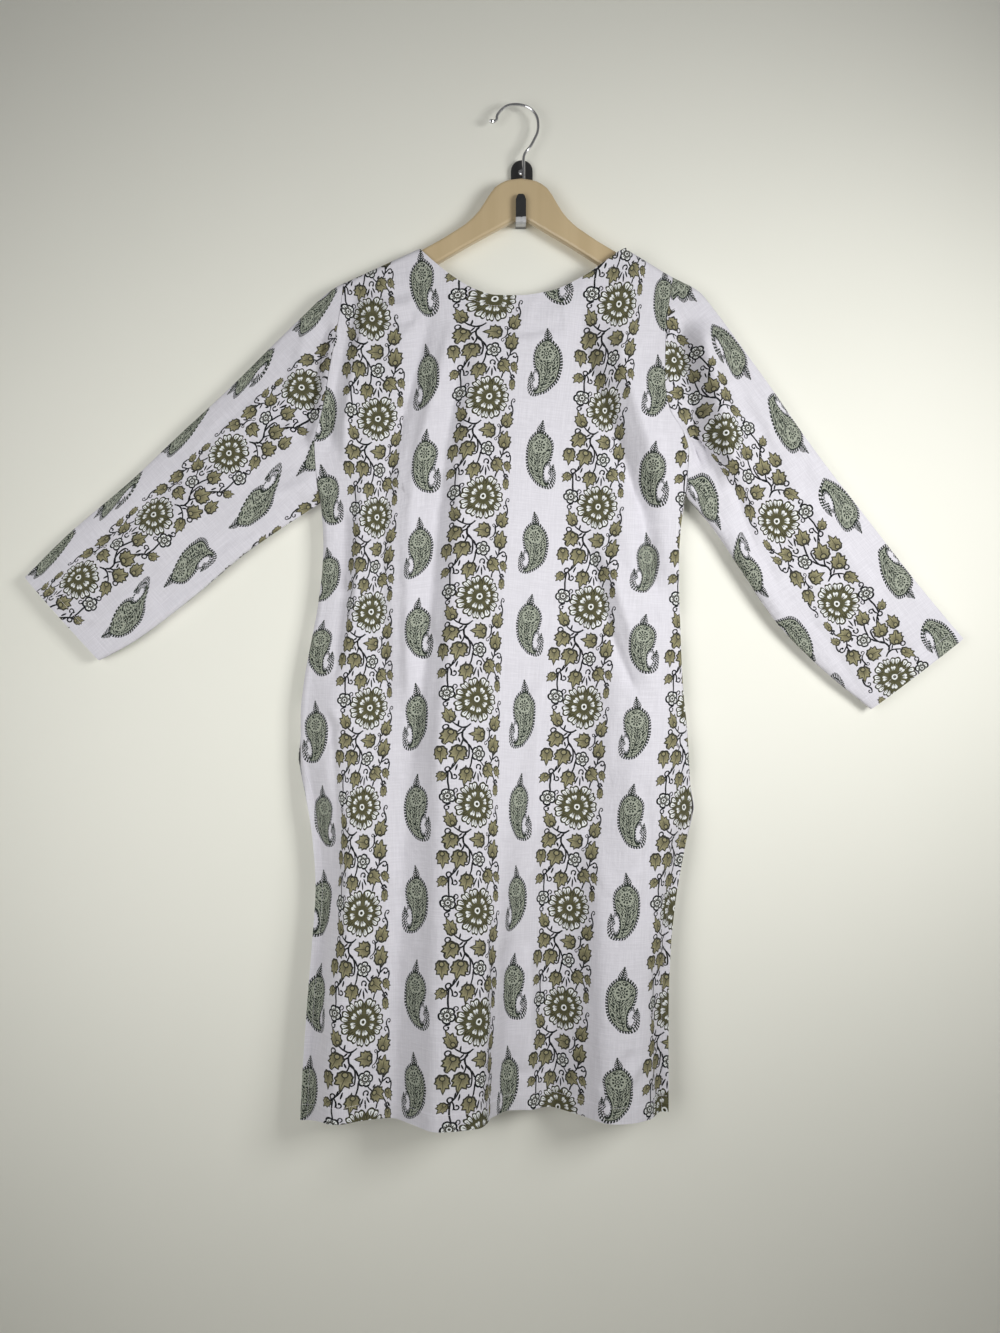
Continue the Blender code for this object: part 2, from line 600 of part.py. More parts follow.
def wall_screw(material):
    """Domed screw head on the plate."""
    radius = 0.5 * SCREW["diameter"]
    base = PLATE["thickness"] + SEAT_GAP
    mesh = bmesh.new()
    ring = [mesh.verts.new((part * radius * MM, -(base + rise_up) * MM,
                            SCREW["height"] * MM)) for part, rise_up in SCREW["profile"]]
    edges = [mesh.edges.new(pair) for pair in zip(ring, ring[1:])]
    bmesh.ops.spin(mesh, geom=ring + edges, cent=(0, 0, SCREW["height"] * MM),
                   axis=(0, 1, 0), angle=2 * math.pi, steps=20, use_merge=True)
    bmesh.ops.remove_doubles(mesh, verts=mesh.verts, dist=1e-6)
    bmesh.ops.recalc_face_normals(mesh, faces=mesh.faces)
    data = bpy.data.meshes.new("wall_screw")
    mesh.to_mesh(data)
    mesh.free()
    return new_object("wall_screw", data, material)


# ---------------------------------------------------------------- assembly
cotton = plain_material("block printed cotton", (0.62, 0.58, 0.65), 0.9)
tan_wood = plain_material("tan hanger", (0.48, 0.35, 0.19), 0.45)
chrome = plain_material("chromed wire", (0.7, 0.7, 0.72), 0.15, 1.0)
black = plain_material("black hook", (0.02, 0.02, 0.02), 0.4)
steel = plain_material("screw steel", (0.75, 0.75, 0.75), 0.25, 1.0)

front = Panel(FRONT_FOLDS, HANGER_DEPTH + 0.5 * SEAM_GAP, 0.0, 0.0, 0.0)
back = Panel(BACK_FOLDS, HANGER_DEPTH - 0.5 * SEAM_GAP, BACK_NECK_DROP, BACK_HEM_RISE,
             BACK_FLARE)
for name, panel, stations in (("front_panel", front, FRONT_ACROSS),
                              ("back_panel", back, BACK_ACROSS)):
    columns, rows = panel_stations(panel, stations)
    across, down = np.meshgrid(columns, rows)
    wall_solid(name, panel.point(across, down), panel.normal(across, down), False, cotton)
for side in ("left", "right"):
    middle, normal = sleeve_grid(side, front, back)
    wall_solid("sleeve_" + side, middle, normal, True, cotton)
hanger_body(tan_wood)
hanger_hook(chrome)
wall_hook(black)
wall_screw(steel)
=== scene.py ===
"""Looks of the kurta tunic on its flat hanger and wall hook.

Cloth is rebuilt as thin shells on the solids' own surfaces, with finer folds, and
printed by node groups that read cloth coordinates in millimetres.
Lengths are millimetres until MM turns them into metres.
"""
import math

import bpy
import numpy as np
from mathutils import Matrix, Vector


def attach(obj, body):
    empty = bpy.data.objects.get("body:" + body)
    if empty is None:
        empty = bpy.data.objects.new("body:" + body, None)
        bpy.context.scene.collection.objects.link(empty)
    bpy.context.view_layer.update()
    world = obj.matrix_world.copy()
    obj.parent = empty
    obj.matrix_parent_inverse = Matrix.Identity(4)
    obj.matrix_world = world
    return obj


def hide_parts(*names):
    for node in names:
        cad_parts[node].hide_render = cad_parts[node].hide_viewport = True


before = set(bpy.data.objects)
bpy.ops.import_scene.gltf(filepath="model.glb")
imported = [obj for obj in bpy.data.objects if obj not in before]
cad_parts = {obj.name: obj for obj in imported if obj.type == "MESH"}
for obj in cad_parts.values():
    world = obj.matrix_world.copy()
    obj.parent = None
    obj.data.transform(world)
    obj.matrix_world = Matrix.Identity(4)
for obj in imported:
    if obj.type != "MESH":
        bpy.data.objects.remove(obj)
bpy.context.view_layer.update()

MM = 0.001
scene = bpy.context.scene

# ---------------------------------------------------------------- driving sizes
CLOTH = 0.5                 # thickness of the shown cloth
SEAM_GAP = 0.4              # between two pieces of cloth where they are sewn
CLOTH_WALL = 1.2            # thickness of the solids' cloth
CLOTH_SHARP, HARD_SHARP = 60, 35    # edges that turn by more degrees are shaded sharp
HANGER_DEPTH = 14.0         # middle of the hanger, from the wall
SHOULDER_TURN = 8.0         # how far down the cloth turns over the shoulder seam
SIDE_TURN = 9.0             # how far in it turns at the side seams
TURN_PART = 0.03            # share of the panel's width in each side turn
TURN_SLACK = 1.4            # cloth in the shoulder turn, beside its drop
UNDERARM_HEIGHT = -377.0
UNDERARM_EASE = 18.0        # height over which the armhole closes to the side seam
PANEL_LENGTH = 970.0
SLIT_TOP = {"left": -677, "right": -736}
SLIT_BLEND = 55.0           # height over which a side seam opens into its slit
BACK_SLIT_BLEND = 14.0      # the far panel's edge lies open sooner than its solid's
FLARE_BAND = (-150, -40, -20, 30)   # from the slit's top: the far panel's flare
NECK_ROLL = 2.5             # width over which the shoulder seam ends at the neck
NECK_EASE = 50.0            # width over which the far neckline drops
BACK_NECK_DROP = 5.0
BACK_HEM_RISE = 3.0
BACK_FLARE = 4.0

# Edge of both body panels, columns (height, x).
LEFT_EDGE = ((-118, -210), (-144, -213), (-219, -226), (-270, -235), (-308, -244),
             (-345, -242), (-377, -238), (-428, -235), (-453, -236), (-495, -241),
             (-540, -249), (-589, -258), (-628, -262), (-677, -262), (-727, -254),
             (-774, -247), (-830, -243), (-898, -247), (-952, -251), (-1049, -257),
             (-1100, -259))
RIGHT_EDGE = ((-110, 178), (-179, 169), (-234, 168), (-266, 173), (-296, 190),
              (-318, 196), (-351, 194), (-377, 192), (-408, 188), (-448, 186),
              (-540, 188), (-599, 191), (-650, 196), (-707, 199), (-736, 201),
              (-785, 191), (-846, 180), (-900, 174), (-965, 171), (-1089, 170))
# Neckline, columns (x, height).
NECKLINE = ((-122.5, -77.4), (-104, -94), (-81, -112), (-54, -127), (-28, -134),
            (-2, -134.5), (38, -128.5), (69, -115), (97, -96), (116, -83), (124, -79.5))
LEFT_SHOULDER = (-210, -117.5)
RIGHT_SHOULDER = (178, -110.5)
HEM = ((0, -1100), (0.06, -1091), (0.15, -1088.5), (1, -1088.5))

LEVELS = (0, 0.15, 0.39, 0.63, 1)
# Crests and hollows: place across at the shoulders and hem, then depth at each level.
FRONT_FOLDS = (
    (0.000, 0.000, 23, 25, 22, 22, 34),
    (0.100, 0.090, 23, 28, 33, 46, 71),
    (0.220, 0.222, 23, 26, 28, 37, 57),
    (0.460, 0.390, 24, 35, 46, 66, 92),
    (0.530, 0.484, 24, 33, 42, 60, 84),
    (0.620, 0.555, 24, 28, 32, 40, 42),
    (0.760, 0.670, 28, 20, 21, 24, 28),
    (0.880, 0.885, 29, 24, 30, 46, 72),
    (0.950, 0.960, 26, 24, 28, 40, 60),
    (1.000, 1.000, 22, 24, 21, 24, 38),
)
BACK_FOLDS = (
    (0.00, 0.00, 5, 5, 5, 5, 6),
    (0.22, 0.20, 4, 4, 5, 7, 11),
    (0.45, 0.42, 4, 4, 4, 4, 4),
    (0.68, 0.66, 4, 5, 6, 9, 13),
    (0.86, 0.86, 4, 4, 4, 4, 5),
    (1.00, 1.00, 5, 5, 5, 5, 7),
)
SLEEVE_OUTLINES = {
    "left": {"upper": ((-210, -117.5), (-219, -122), (-271, -168), (-340, -236),
                       (-414, -304), (-463, -350), (-544, -419), (-590, -465)),
             "lower": ((-238, -377), (-324, -434), (-396, -493), (-470, -546.5),
                       (-502.5, -563))},
    "right": {"upper": ((178, -110.5), (210, -128), (222, -142), (273, -211),
                        (299, -247), (341, -307), (405, -390), (470, -473),
                        (524, -538)),
              "lower": ((192, -377), (223, -410), (265, -466), (306, -523),
                        (368, -583.5), (415.5, -621))},
}
# Part of the sleeve's length, depth of its middle, half its thickness.
SLEEVE_SECTIONS = ((0, 14, 10), (0.3, 14, 10), (0.6, 12, 8), (1, 10, 6.5))
# Broad hollows of the near side: from (part of the length, part of the way round), to
# the same, then depth and width round.
SLEEVE_HOLLOWS = {
    "left": ((0.06, 0.86, 0.24, 0.60, 4, 0.10), (0.30, 0.92, 0.50, 0.70, 3, 0.10)),
    "right": ((0.02, 0.30, 0.10, 0.86, 8, 0.16), (0.25, 0.80, 0.50, 0.62, 4, 0.12)),
}
FLATNESS = 0.6              # power of the section's sine: lower is fuller
ARMHOLE_FADE = 0.45         # part of the sleeve over which the armhole's bow dies out
SECTION_BLEND = 0.30        # part over which the armhole's depths become the section's
SEAM_CLEAR = 14.0           # the sleeve's seam begins to turn this far above the underarm
HOLLOW_FADES = (-0.06, 0.02, -0.02, 0.10)   # fade in and out, round a hollow's ends

# Smaller creases laid on the folds.  Columns: half width, height of the crease
# (a trough is negative), then the (x, height) points it runs through.
CREASES = {
    "front": (
        (9, -7, ((-100, -136), (-114, -175), (-134, -250), (-149, -308), (-161, -378),
            (-165, -447), (-163, -540), (-158, -645))),
        (9, 4.5, ((-77, -145), (-92, -215), (-111, -285), (-126, -354), (-132, -424),
            (-133, -517), (-128, -645))),
        (9, -4.6, ((-65, -186), (-81, -262), (-92, -320), (-100, -401), (-108, -494),
            (-119, -598), (-132, -703))),
        (11, 4.2, ((-45, -180), (-59, -262), (-68, -343), (-76, -447), (-84, -552), (-93, -656),
            (-100, -726))),
        (12, -3, ((-119, -598), (-133, -703), (-142, -842), (-147, -1088))),
        (13, 3, ((-89, -610), (-96, -726), (-98, -865), (-99, -1088))),
        (14, -4, ((30, -749), (32, -877), (33, -981), (34, -1088))),
        (14, 3.6, ((90, -761), (92, -889), (94, -981), (95, -1088))),
        (13, -11, ((67, -136), (75, -198), (92, -250), (110, -296), (128, -349),
            (146, -401), (158, -460), (170, -520))),
        (12, 6.5, ((109, -157), (123, -227), (138, -273), (156, -331), (171, -387))),
        (6, -4.5, ((76, -413), (94, -494), (111, -552), (137, -610))),
        (7, 3.4, ((97, -430), (116, -494), (134, -552), (155, -604))),
        (7, -7, ((-196, -129), (-208, -180), (-220, -227), (-226, -276), (-223, -320))),
        (7, 4.4, ((-175, -145), (-191, -198), (-201, -250), (-206, -296), (-205, -343))),
        (8, -5, ((-209, -378), (-207, -459), (-215, -540), (-223, -598))),
        (7, 4, ((-186, -343), (-189, -424), (-194, -494), (-205, -575))),
        (8, -4, ((-227, -610), (-220, -680), (-216, -761), (-222, -854))),
        (8, 3, ((-198, -627), (-194, -726), (-198, -842), (-201, -947))),
        (6, -2.2, ((-236, -807), (-237, -912), (-238, -1039))),
        (6, -3, ((154, -900), (157, -1005), (160, -1084))),
        (5, 2.2, ((174, -894), (176, -981), (175, -1057))),
        (4.5, -3, ((-32, -830), (-33, -958), (-34, -1088))),
        (10, -3.4, ((-17, -877), (-14, -970), (-16, -1088))),
        (8, 3.4, ((7, -889), (9, -981), (10, -1088))),
        (8, -2.6, ((139, -691), (146, -784), (137, -877))),
        (9, 2.6, ((16, -447), (7, -563), (-3, -680), (-7, -772))),
        (7, -2.2, ((30, -540), (20, -656), (11, -772))),
        (5, -2.4, ((127, -1007), (111, -1030), (88, -1056))),
        (5, 2.4, ((137, -1016), (118, -1046), (97, -1067))),
        (5, -1.8, ((-223, -447), (-198, -482), (-161, -494))),
        (5, 1.8, ((-229, -616), (-198, -642), (-168, -635))),
        (5, -1.6, ((-198, -122), (-158, -134), (-114, -122))),
        (5, 2.6, ((-200, -139), (-161, -150), (-119, -141))),
        (5, -2.4, ((-186, -157), (-151, -166), (-121, -159))),
        (5, 1.4, ((-56, -171), (-14, -190), (44, -180))),
        (6, -1.8, ((-52, -159), (-3, -176), (60, -166))),
        (5, 1.8, ((44, -343), (90, -378), (130, -371))),
        (5, -1.8, ((-26, -1028), (2, -1046), (30, -1042))),
    ),
    "back": (
        (13, 3, ((-90, -180), (-100, -360), (-120, -560))),
        (10, -2, ((60, -200), (72, -420), (66, -640))),
        (12, 2.5, ((130, -640), (120, -820), (128, -1080))),
        (9, -2, ((-40, -700), (-30, -860), (-36, -1080))),
        (8, 2, ((-190, -520), (-200, -700), (-196, -900))),
        (7, -1.6, ((10, -520), (0, -600), (14, -700))),
        (6, 1.6, ((150, -260), (120, -330), (100, -420))),
        (6, -1.5, ((-200, -180), (-160, -240), (-140, -330))),
    ),
    "left": (
        (7, -5.5, ((-232, -290), (-262, -330), (-300, -345))),
        (6, 4, ((-246, -262), (-282, -300), (-318, -312))),
        (6, -4.5, ((-252, -372), (-296, -392), (-330, -392))),
        (5, 3, ((-240, -350), (-270, -362), (-300, -374))),
        (7, -3.5, ((-350, -452), (-396, -478), (-440, -505))),
        (8, 3, ((-330, -330), (-400, -385), (-470, -450))),
        (9, -3, ((-400, -340), (-470, -400), (-540, -452))),
        (10, -14, ((-230, -160), (-237, -205), (-249, -262), (-259, -316))),
        (8, 3, ((-250, -170), (-262, -215), (-276, -256))),
        (6, 2.4, ((-470, -500), (-500, -515), (-530, -512))),
        (5, -3, ((-248, -330), (-280, -352), (-322, -356))),
        (5, 2.2, ((-300, -250), (-352, -300), (-380, -340))),
        (4.5, -2, ((-300, -408), (-340, -420), (-372, -446))),
    ),
    "right": (
        (12, -15, ((184, -150), (192, -203), (199, -250), (206, -300), (215, -350))),
        (14, 17, ((206, -156), (219, -212), (232, -266), (243, -318), (252, -366))),
        (8, 3, ((330, -300), (352, -350), (372, -384))),
        (7, -4, ((240, -330), (272, -420), (306, -480))),
        (9, 4, ((240, -400), (280, -470), (330, -540))),
        (7, -3.2, ((250, -240), (286, -300), (312, -360))),
        (8, 2.6, ((300, -330), (370, -420), (430, -500))),
        (7, -2.8, ((380, -470), (430, -530), (470, -560))),
        (5, -3, ((196, -372), (224, -384), (250, -376))),
        (5, 2, ((262, -210), (300, -268), (336, -330))),
        (5, -2, ((330, -500), (372, -556), (400, -600))),
    ),
}
CREASE_GAIN = 1.3           # the front's creases are this much deeper than their table
FAR_CREASES = 0.35          # a sleeve's far side has the near side's creases, this deep,
FAR_LIMIT = 8.0             # each counted up to this height
FAR_SHIFT = (-20, 16)   # and moved this far outward and up
CREASE_END = 0.16           # part of a crease's length over which each end fades,
HEM_REACH = -1080           # unless it runs out of the hem, below this height
TROUGH_SHARP = 1.45         # how pointed a trough's bottom is (2 is round)
CRUMPLE = {"spread": 0.55, "half_length": (14, 62), "half_width": (3.2, 8),
           "height": (0.35, 1.5)}
# Of each piece: how many, seed, x and height they lie between, lean from upright.
CRUMPLED = {"front": (150, 11, (-262, 202, -1100, -120), 0),
            "back": (120, 23, (-262, 202, -1100, -120), 0.1),
            "left": (60, 37, (-590, -205, -565, -115), -0.85),
            "right": (64, 41, (175, 525, -625, -110), 0.6)}
BEND = 0.25                 # a crumple's greatest bend, in parts of its half length
HEM_BAND, HEM_STEP = 18, 0.45     # turned-up bands: height, and how far they stand out
CUFF_BAND, CUFF_STEP = 15, 0.4
NECK_BAND, NECK_STEP = 13, 0.35
NECK_END = 6.0              # the neck's band fades over this width at its ends
BAND_SLOPE = (0.3, 1)        # from before to after its edge, a band's step falls off
STILL_TOP = 12.0            # creases grow from nothing over this much from the shoulder,
STILL_SIDES = (2, 22)   # and over this much from the sides
SIDE_CREASES = 0.15         # where they keep this part
STILL_ARMHOLE = 0.035       # part of a sleeve over which its creases grow
STILL_SEAM = 0.7            # power of the sine that lowers them at the underarm seam

# ---------------------------------------------------------------- print layout
STRIPE_REPEAT = 145.0
FLOWER_PITCH = 118.0
PAISLEY_PITCH = 105.5
# Flower centres down each stripe of the near panel: place across the cloth, then
# (x, height) rows from the first flower on.
FLOWER_COLUMNS = (
    (0, ((-176.4, -162.6), (-169, -280.8), (-170.6, -396), (-176.7, -507.3),
           (-177.6, -619.4), (-185.7, -733.6), (-185.2, -854.3), (-182.9, -978))),
    (145, ((-31.9, -138.8), (-38.8, -255.2), (-45.7, -373), (-49.6, -489.5),
             (-52.4, -608.3), (-52.2, -727.4), (-51.4, -847.1), (-49.6, -971))),
    (290, ((113.7, -145.6), (98.8, -266.7), (89.5, -383), (81.1, -500.9),
             (72.8, -618.6), (64.5, -736.2), (55.7, -854.4), (48.9, -970.6))),
)
# The same for the paisleys, with the number of the first row.
PAISLEY_COLUMNS = (
    (-72.5, 0, ((-252, -168), (-261, -272), (-227, -375), (-228.6, -466.8),
                (-239, -551.6), (-241.6, -652.4), (-230.9, -749.5), (-232.7, -852.2),
                (-240.1, -963.5), (-250.2, -1067.3))),
    (72.5, 0, ((-117.8, -123.4), (-110.9, -233.8), (-115.3, -334.5), (-120.8, -435.8),
               (-123.4, -528.4), (-122.1, -633), (-123.6, -737.9), (-121.6, -843),
               (-123, -949), (-122.9, -1049.2))),
    (217.5, 1, ((28.1, -216.7), (19.1, -325.6), (14.3, -431.3), (6.7, -523.7),
                (1.9, -629.8), (-4.7, -737.5), (-7.9, -842.1), (-12.7, -946.2),
                (-18.2, -1057.8))),
    (362.5, 1, ((158.6, -245.8), (152, -348.4), (147.5, -454.4), (139.3, -547.1),
                (131.8, -647), (124.3, -747.3), (119.2, -850.9), (111.9, -956.3),
                (107.8, -1054.6))),
)
# A line of the stripe beyond the last full one, by its small flowers.
EDGE_COLUMN = (402, ((188.3, -388.6), (181.6, -503.8), (174.9, -625.5),
                       (162.7, -737.1), (155.2, -852.4), (149.8, -971.4)))
LEAST_STEP = 5.0                    # two columns closer than this count as one
BACK_PRINT_START = (31, 44)     # across and down, on the hidden panel
# Sleeves: flower centres and paisley centres from the shoulder to the cuff.
SLEEVE_PRINT = {
    "left": {"flowers": ((-260, -242.3), (-345, -319.7), (-435.2, -391.2),
                         (-524.9, -465.2)),
             "plus": ((-240.4, -149.9), (-314.8, -216.8), (-394.1, -289.6)),
             "minus": ((-314.6, -384.3), (-394.1, -450.1), (-468.3, -513.6))},
    "right": {"flowers": ((180.1, -208.8), (236.8, -299.3), (300, -399.8),
                          (371.4, -497.3), (440.9, -583.4)),
              "plus": ((215.5, -374.9), (265.2, -459.6), (327, -538.5)),
              "minus": ((243.7, -194.7), (309.7, -283), (376, -376.5),
                        (440.4, -459.4), (495.9, -538.5))},
}


# ---------------------------------------------------------------- table reading
def smooth_table(rows, at):
    """Monotone cubic through rows of (place, value), level past both ends."""
    place, value = np.array(sorted(rows), float).T
    at = np.clip(np.asarray(at, float), place[0], place[-1])
    step = np.diff(place)
    slope = np.diff(value) / step
    tangent = np.concatenate([slope[:1], np.zeros(len(slope) - 1), slope[-1:]])
    for i in range(1, len(slope)):
        if slope[i - 1] * slope[i] > 0:
            before = 2 * step[i] + step[i - 1]
            after = step[i] + 2 * step[i - 1]
            tangent[i] = (before + after) / (before / slope[i - 1] + after / slope[i])
    cell = np.clip(np.searchsorted(place, at) - 1, 0, len(step) - 1)
    t = (at - place[cell]) / step[cell]
    width = step[cell]
    return ((2 * t**3 - 3 * t**2 + 1) * value[cell]
            + (t**3 - 2 * t**2 + t) * width * tangent[cell]
            + (3 * t**2 - 2 * t**3) * value[cell + 1]
            + (t**3 - t**2) * width * tangent[cell + 1])


def past_ends(at, place, first, last):
    """What the first and last slopes add beyond the first and last place."""
    return np.minimum(at - place[0], 0) * first + np.maximum(at - place[-1], 0) * last


def carried_table(rows, at, smooth=True):
    """A smooth or straight-sided table that goes straight on past both ends."""
    place, value = np.array(sorted(rows), float).T
    slope = np.diff(value) / np.diff(place)
    inside = smooth_table(rows, at) if smooth else np.interp(at, place, value)
    return inside + past_ends(at, place, slope[0], slope[-1])


def rise(edge0, edge1, value):
    """Smooth step from 0 at the first edge to 1 at the second."""
    t = np.clip((np.asarray(value, float) - edge0) / (edge1 - edge0), 0.0, 1.0)
    return t * t * (3 - 2 * t)


def along(points, fractions):
    """Places on a smooth line through points, by parts of its length."""
    points = np.array(points, float)
    reach = np.concatenate([[0.0], np.cumsum(np.hypot(*np.diff(points, axis=0).T))])
    reach /= reach[-1]
    x = smooth_table(list(zip(reach, points[:, 0])), fractions)
    z = smooth_table(list(zip(reach, points[:, 1])), fractions)
    return np.stack([x, z], axis=-1)


def hip_band(height, side):
    """1 where the far panel flares beside the slit, fading above and below."""
    grow_from, grow_to, fade_from, fade_to = (SLIT_TOP[side] + step for step in FLARE_BAND)
    return rise(grow_from, grow_to, height) * (1 - rise(fade_from, fade_to, height))


class Panel:
    """One body panel as a surface over (across, down), both from 0 to 1."""

    def __init__(self, folds, seam_depth, slit_blend, neck_drop=0, hem_rise=0, flare=0):
        self.folds = folds
        self.seam_depth = seam_depth
        self.slit_blend = slit_blend
        self.neck_drop = neck_drop
        self.hem_rise = hem_rise
        self.flare = flare
        self.turn_down = SHOULDER_TURN * TURN_SLACK / PANEL_LENGTH

    def top(self, x):
        """Height of the panel's upper edge."""
        start, end = NECKLINE[0][0], NECKLINE[-1][0]
        left = np.interp(x, *zip(LEFT_SHOULDER, NECKLINE[0]))
        right = np.interp(x, *zip(NECKLINE[-1], RIGHT_SHOULDER))
        open_part = rise(start, start + NECK_EASE, x) * (1 - rise(end - NECK_EASE, end, x))
        middle = smooth_table(NECKLINE, x) - self.neck_drop * open_part
        return np.where(x < start, left, np.where(x > end, right, middle))

    def shoulder(self, x):
        """1 where the upper edge is sewn, 0 along the neck."""
        left, right = NECKLINE[0][0], NECKLINE[-1][0]
        return 1 - rise(left, left + NECK_ROLL, x) + rise(right - NECK_ROLL, right, x)

    def side_turn(self, height, side):
        """1 where the side seam is closed, 0 in the armhole and the slit."""
        closed = 1 - rise(UNDERARM_HEIGHT, UNDERARM_HEIGHT + UNDERARM_EASE, height)
        slit = SLIT_TOP[side]
        return closed * rise(slit - self.slit_blend, slit, height)

    def fold_depth(self, fraction, down):
        """How far the folds stand off the wall, at places across and down."""
        shape = np.broadcast(fraction, down).shape
        fraction = np.broadcast_to(fraction, shape)
        down = np.broadcast_to(down, shape)
        depth = np.empty(shape)
        for key in np.unique(down):
            here = down == key
            places = [row[0] + (row[1] - row[0]) * key for row in self.folds]
            depths = [float(smooth_table(list(zip(LEVELS, row[2:])), key))
                      for row in self.folds]
            depth[here] = smooth_table(list(zip(places, depths)), fraction[here])
        return depth

    def point(self, across, down):
        """Points of the middle of the cloth, in millimetres."""
        across, down = np.broadcast_arrays(np.asarray(across, float),
                                           np.asarray(down, float))
        side_angle = 0.5 * np.pi * np.clip(
            np.minimum(across, 1 - across) / TURN_PART, 0, 1)
        top_angle = 0.5 * np.pi * np.clip(down / self.turn_down, 0, 1)
        inset = SIDE_TURN * (1 - np.cos(side_angle))
        fraction = np.clip((across - TURN_PART) / (1 - 2 * TURN_PART), 0, 1)
        below = np.clip((down - self.turn_down) / (1 - self.turn_down), 0, 1)
        hem = smooth_table(HEM, fraction) + self.hem_rise

        def across_x(left, right):
            plain = left + SIDE_TURN + fraction * (right - left - 2 * SIDE_TURN)
            left_part = np.where(across < TURN_PART, left + inset, plain)
            return np.where(across > 1 - TURN_PART, right - inset, left_part)

        x_top = across_x(LEFT_SHOULDER[0], RIGHT_SHOULDER[0])
        sewn = self.shoulder(x_top)
        top = self.top(x_top)
        roll = sewn * (1 - np.cos(top_angle)) + (1 - sewn) * top_angle / (0.5 * np.pi)
        height = (top - SHOULDER_TURN * roll) * (1 - below) + hem * below
        left = smooth_table(LEFT_EDGE, height) - self.flare * hip_band(height, "left")
        right = smooth_table(RIGHT_EDGE, height) + self.flare * hip_band(height, "right")
        x = across_x(left, right)

        depth = self.fold_depth(fraction, below)
        edge_depth = depth * (1 - sewn) + self.seam_depth * sewn
        depth = edge_depth + (depth - edge_depth) * np.sin(top_angle)
        turn = np.where(across < 0.5, self.side_turn(height, "left"),
                        self.side_turn(height, "right"))
        depth = depth + (self.seam_depth - depth) * turn * (1 - np.sin(side_angle))
        return np.stack([x, -depth, height], axis=-1)

    def underarm(self):
        """Part of the way down at which the armhole ends."""
        steps = np.linspace(0.1, 0.5, 2001)
        heights = self.point(np.zeros_like(steps), steps)[:, 2]
        return float(np.interp(-UNDERARM_HEIGHT, -heights, steps))


# ---------------------------------------------------------------- fine surfaces
def crease_height(points, creases):
    """Height of the small creases at points of the cloth, by (x, height)."""
    x, z = points[..., 0], points[..., 2]
    total = np.zeros_like(x)
    for half_width, rise_by, route in creases:
        knots = along(route, np.linspace(0, 1, 13))
        best = np.full(x.shape, 1e9)
        place = np.zeros_like(x)
        for i in range(len(knots) - 1):
            (ax, az), (bx, bz) = knots[i], knots[i + 1]
            length = (bx - ax) ** 2 + (bz - az) ** 2
            t = np.clip(((x - ax) * (bx - ax) + (z - az) * (bz - az)) / length, 0, 1)
            gap = np.hypot(x - ax - t * (bx - ax), z - az - t * (bz - az))
            nearer = gap < best
            best = np.where(nearer, gap, best)
            place = np.where(nearer, (i + t) / (len(knots) - 1), place)
        ends = rise(0, CREASE_END, place)
        if route[-1][1] >= HEM_REACH:
            ends = ends * (1 - rise(1 - CREASE_END, 1, place))
        sharp = TROUGH_SHARP if rise_by < 0 else 2.0
        total += rise_by * ends * np.exp(-(best / half_width) ** sharp)
    return total


def crumple(points, count, seed, box, lean):
    """Many short faint creases at points of the cloth, the same ones each run."""
    draw = np.random.default_rng(seed)
    x, z = points[..., 0], points[..., 2]
    total = np.zeros_like(x)
    for _ in range(count):
        cx, cz = draw.uniform(box[0], box[1]), draw.uniform(box[2], box[3])
        angle = draw.normal(lean, CRUMPLE["spread"])
        half_length = draw.uniform(*CRUMPLE["half_length"])
        half_width = draw.uniform(*CRUMPLE["half_width"])
        height = draw.uniform(*CRUMPLE["height"]) * draw.choice((-1.0, 1.0))
        bend = draw.uniform(-BEND, BEND)
        forward = (x - cx) * math.sin(angle) - (z - cz) * math.cos(angle)
        aside = (x - cx) * math.cos(angle) + (z - cz) * math.sin(angle)
        aside = aside - bend * forward * forward / half_length
        total += height * np.exp(-(aside / half_width) ** 2 - (forward / half_length) ** 2)
    return total


def grid_normals(grid, near=slice(None), way=-1.0):
    """Unit normals of a grid; its near columns face the viewer (-1) or the wall (1)."""
    normal = np.cross(np.gradient(grid, axis=0), np.gradient(grid, axis=1))
    normal /= np.maximum(np.linalg.norm(normal, axis=-1, keepdims=True), 1e-9)
    return normal * way * np.sign(np.median(normal[:, near, 1]))


def arc_length(grid, axis):
    """Distance along a grid's lines from their first points."""
    steps = np.linalg.norm(np.diff(grid, axis=axis), axis=-1)
    start = np.zeros_like(np.take(steps, [0], axis=axis))
    return np.concatenate([start, np.cumsum(steps, axis=axis)], axis=axis)


def linked(name, data):
    """A new object for some data, in the scene."""
    obj = bpy.data.objects.new(name, data)
    bpy.context.collection.objects.link(obj)
    return obj


def mesh_object(name, vertices, faces, materials):
    """A new mesh object from corners in metres."""
    mesh = bpy.data.meshes.new(name)
    mesh.from_pydata(vertices, [], faces)
    for material in materials:
        mesh.materials.append(material)
    return linked(name, mesh)


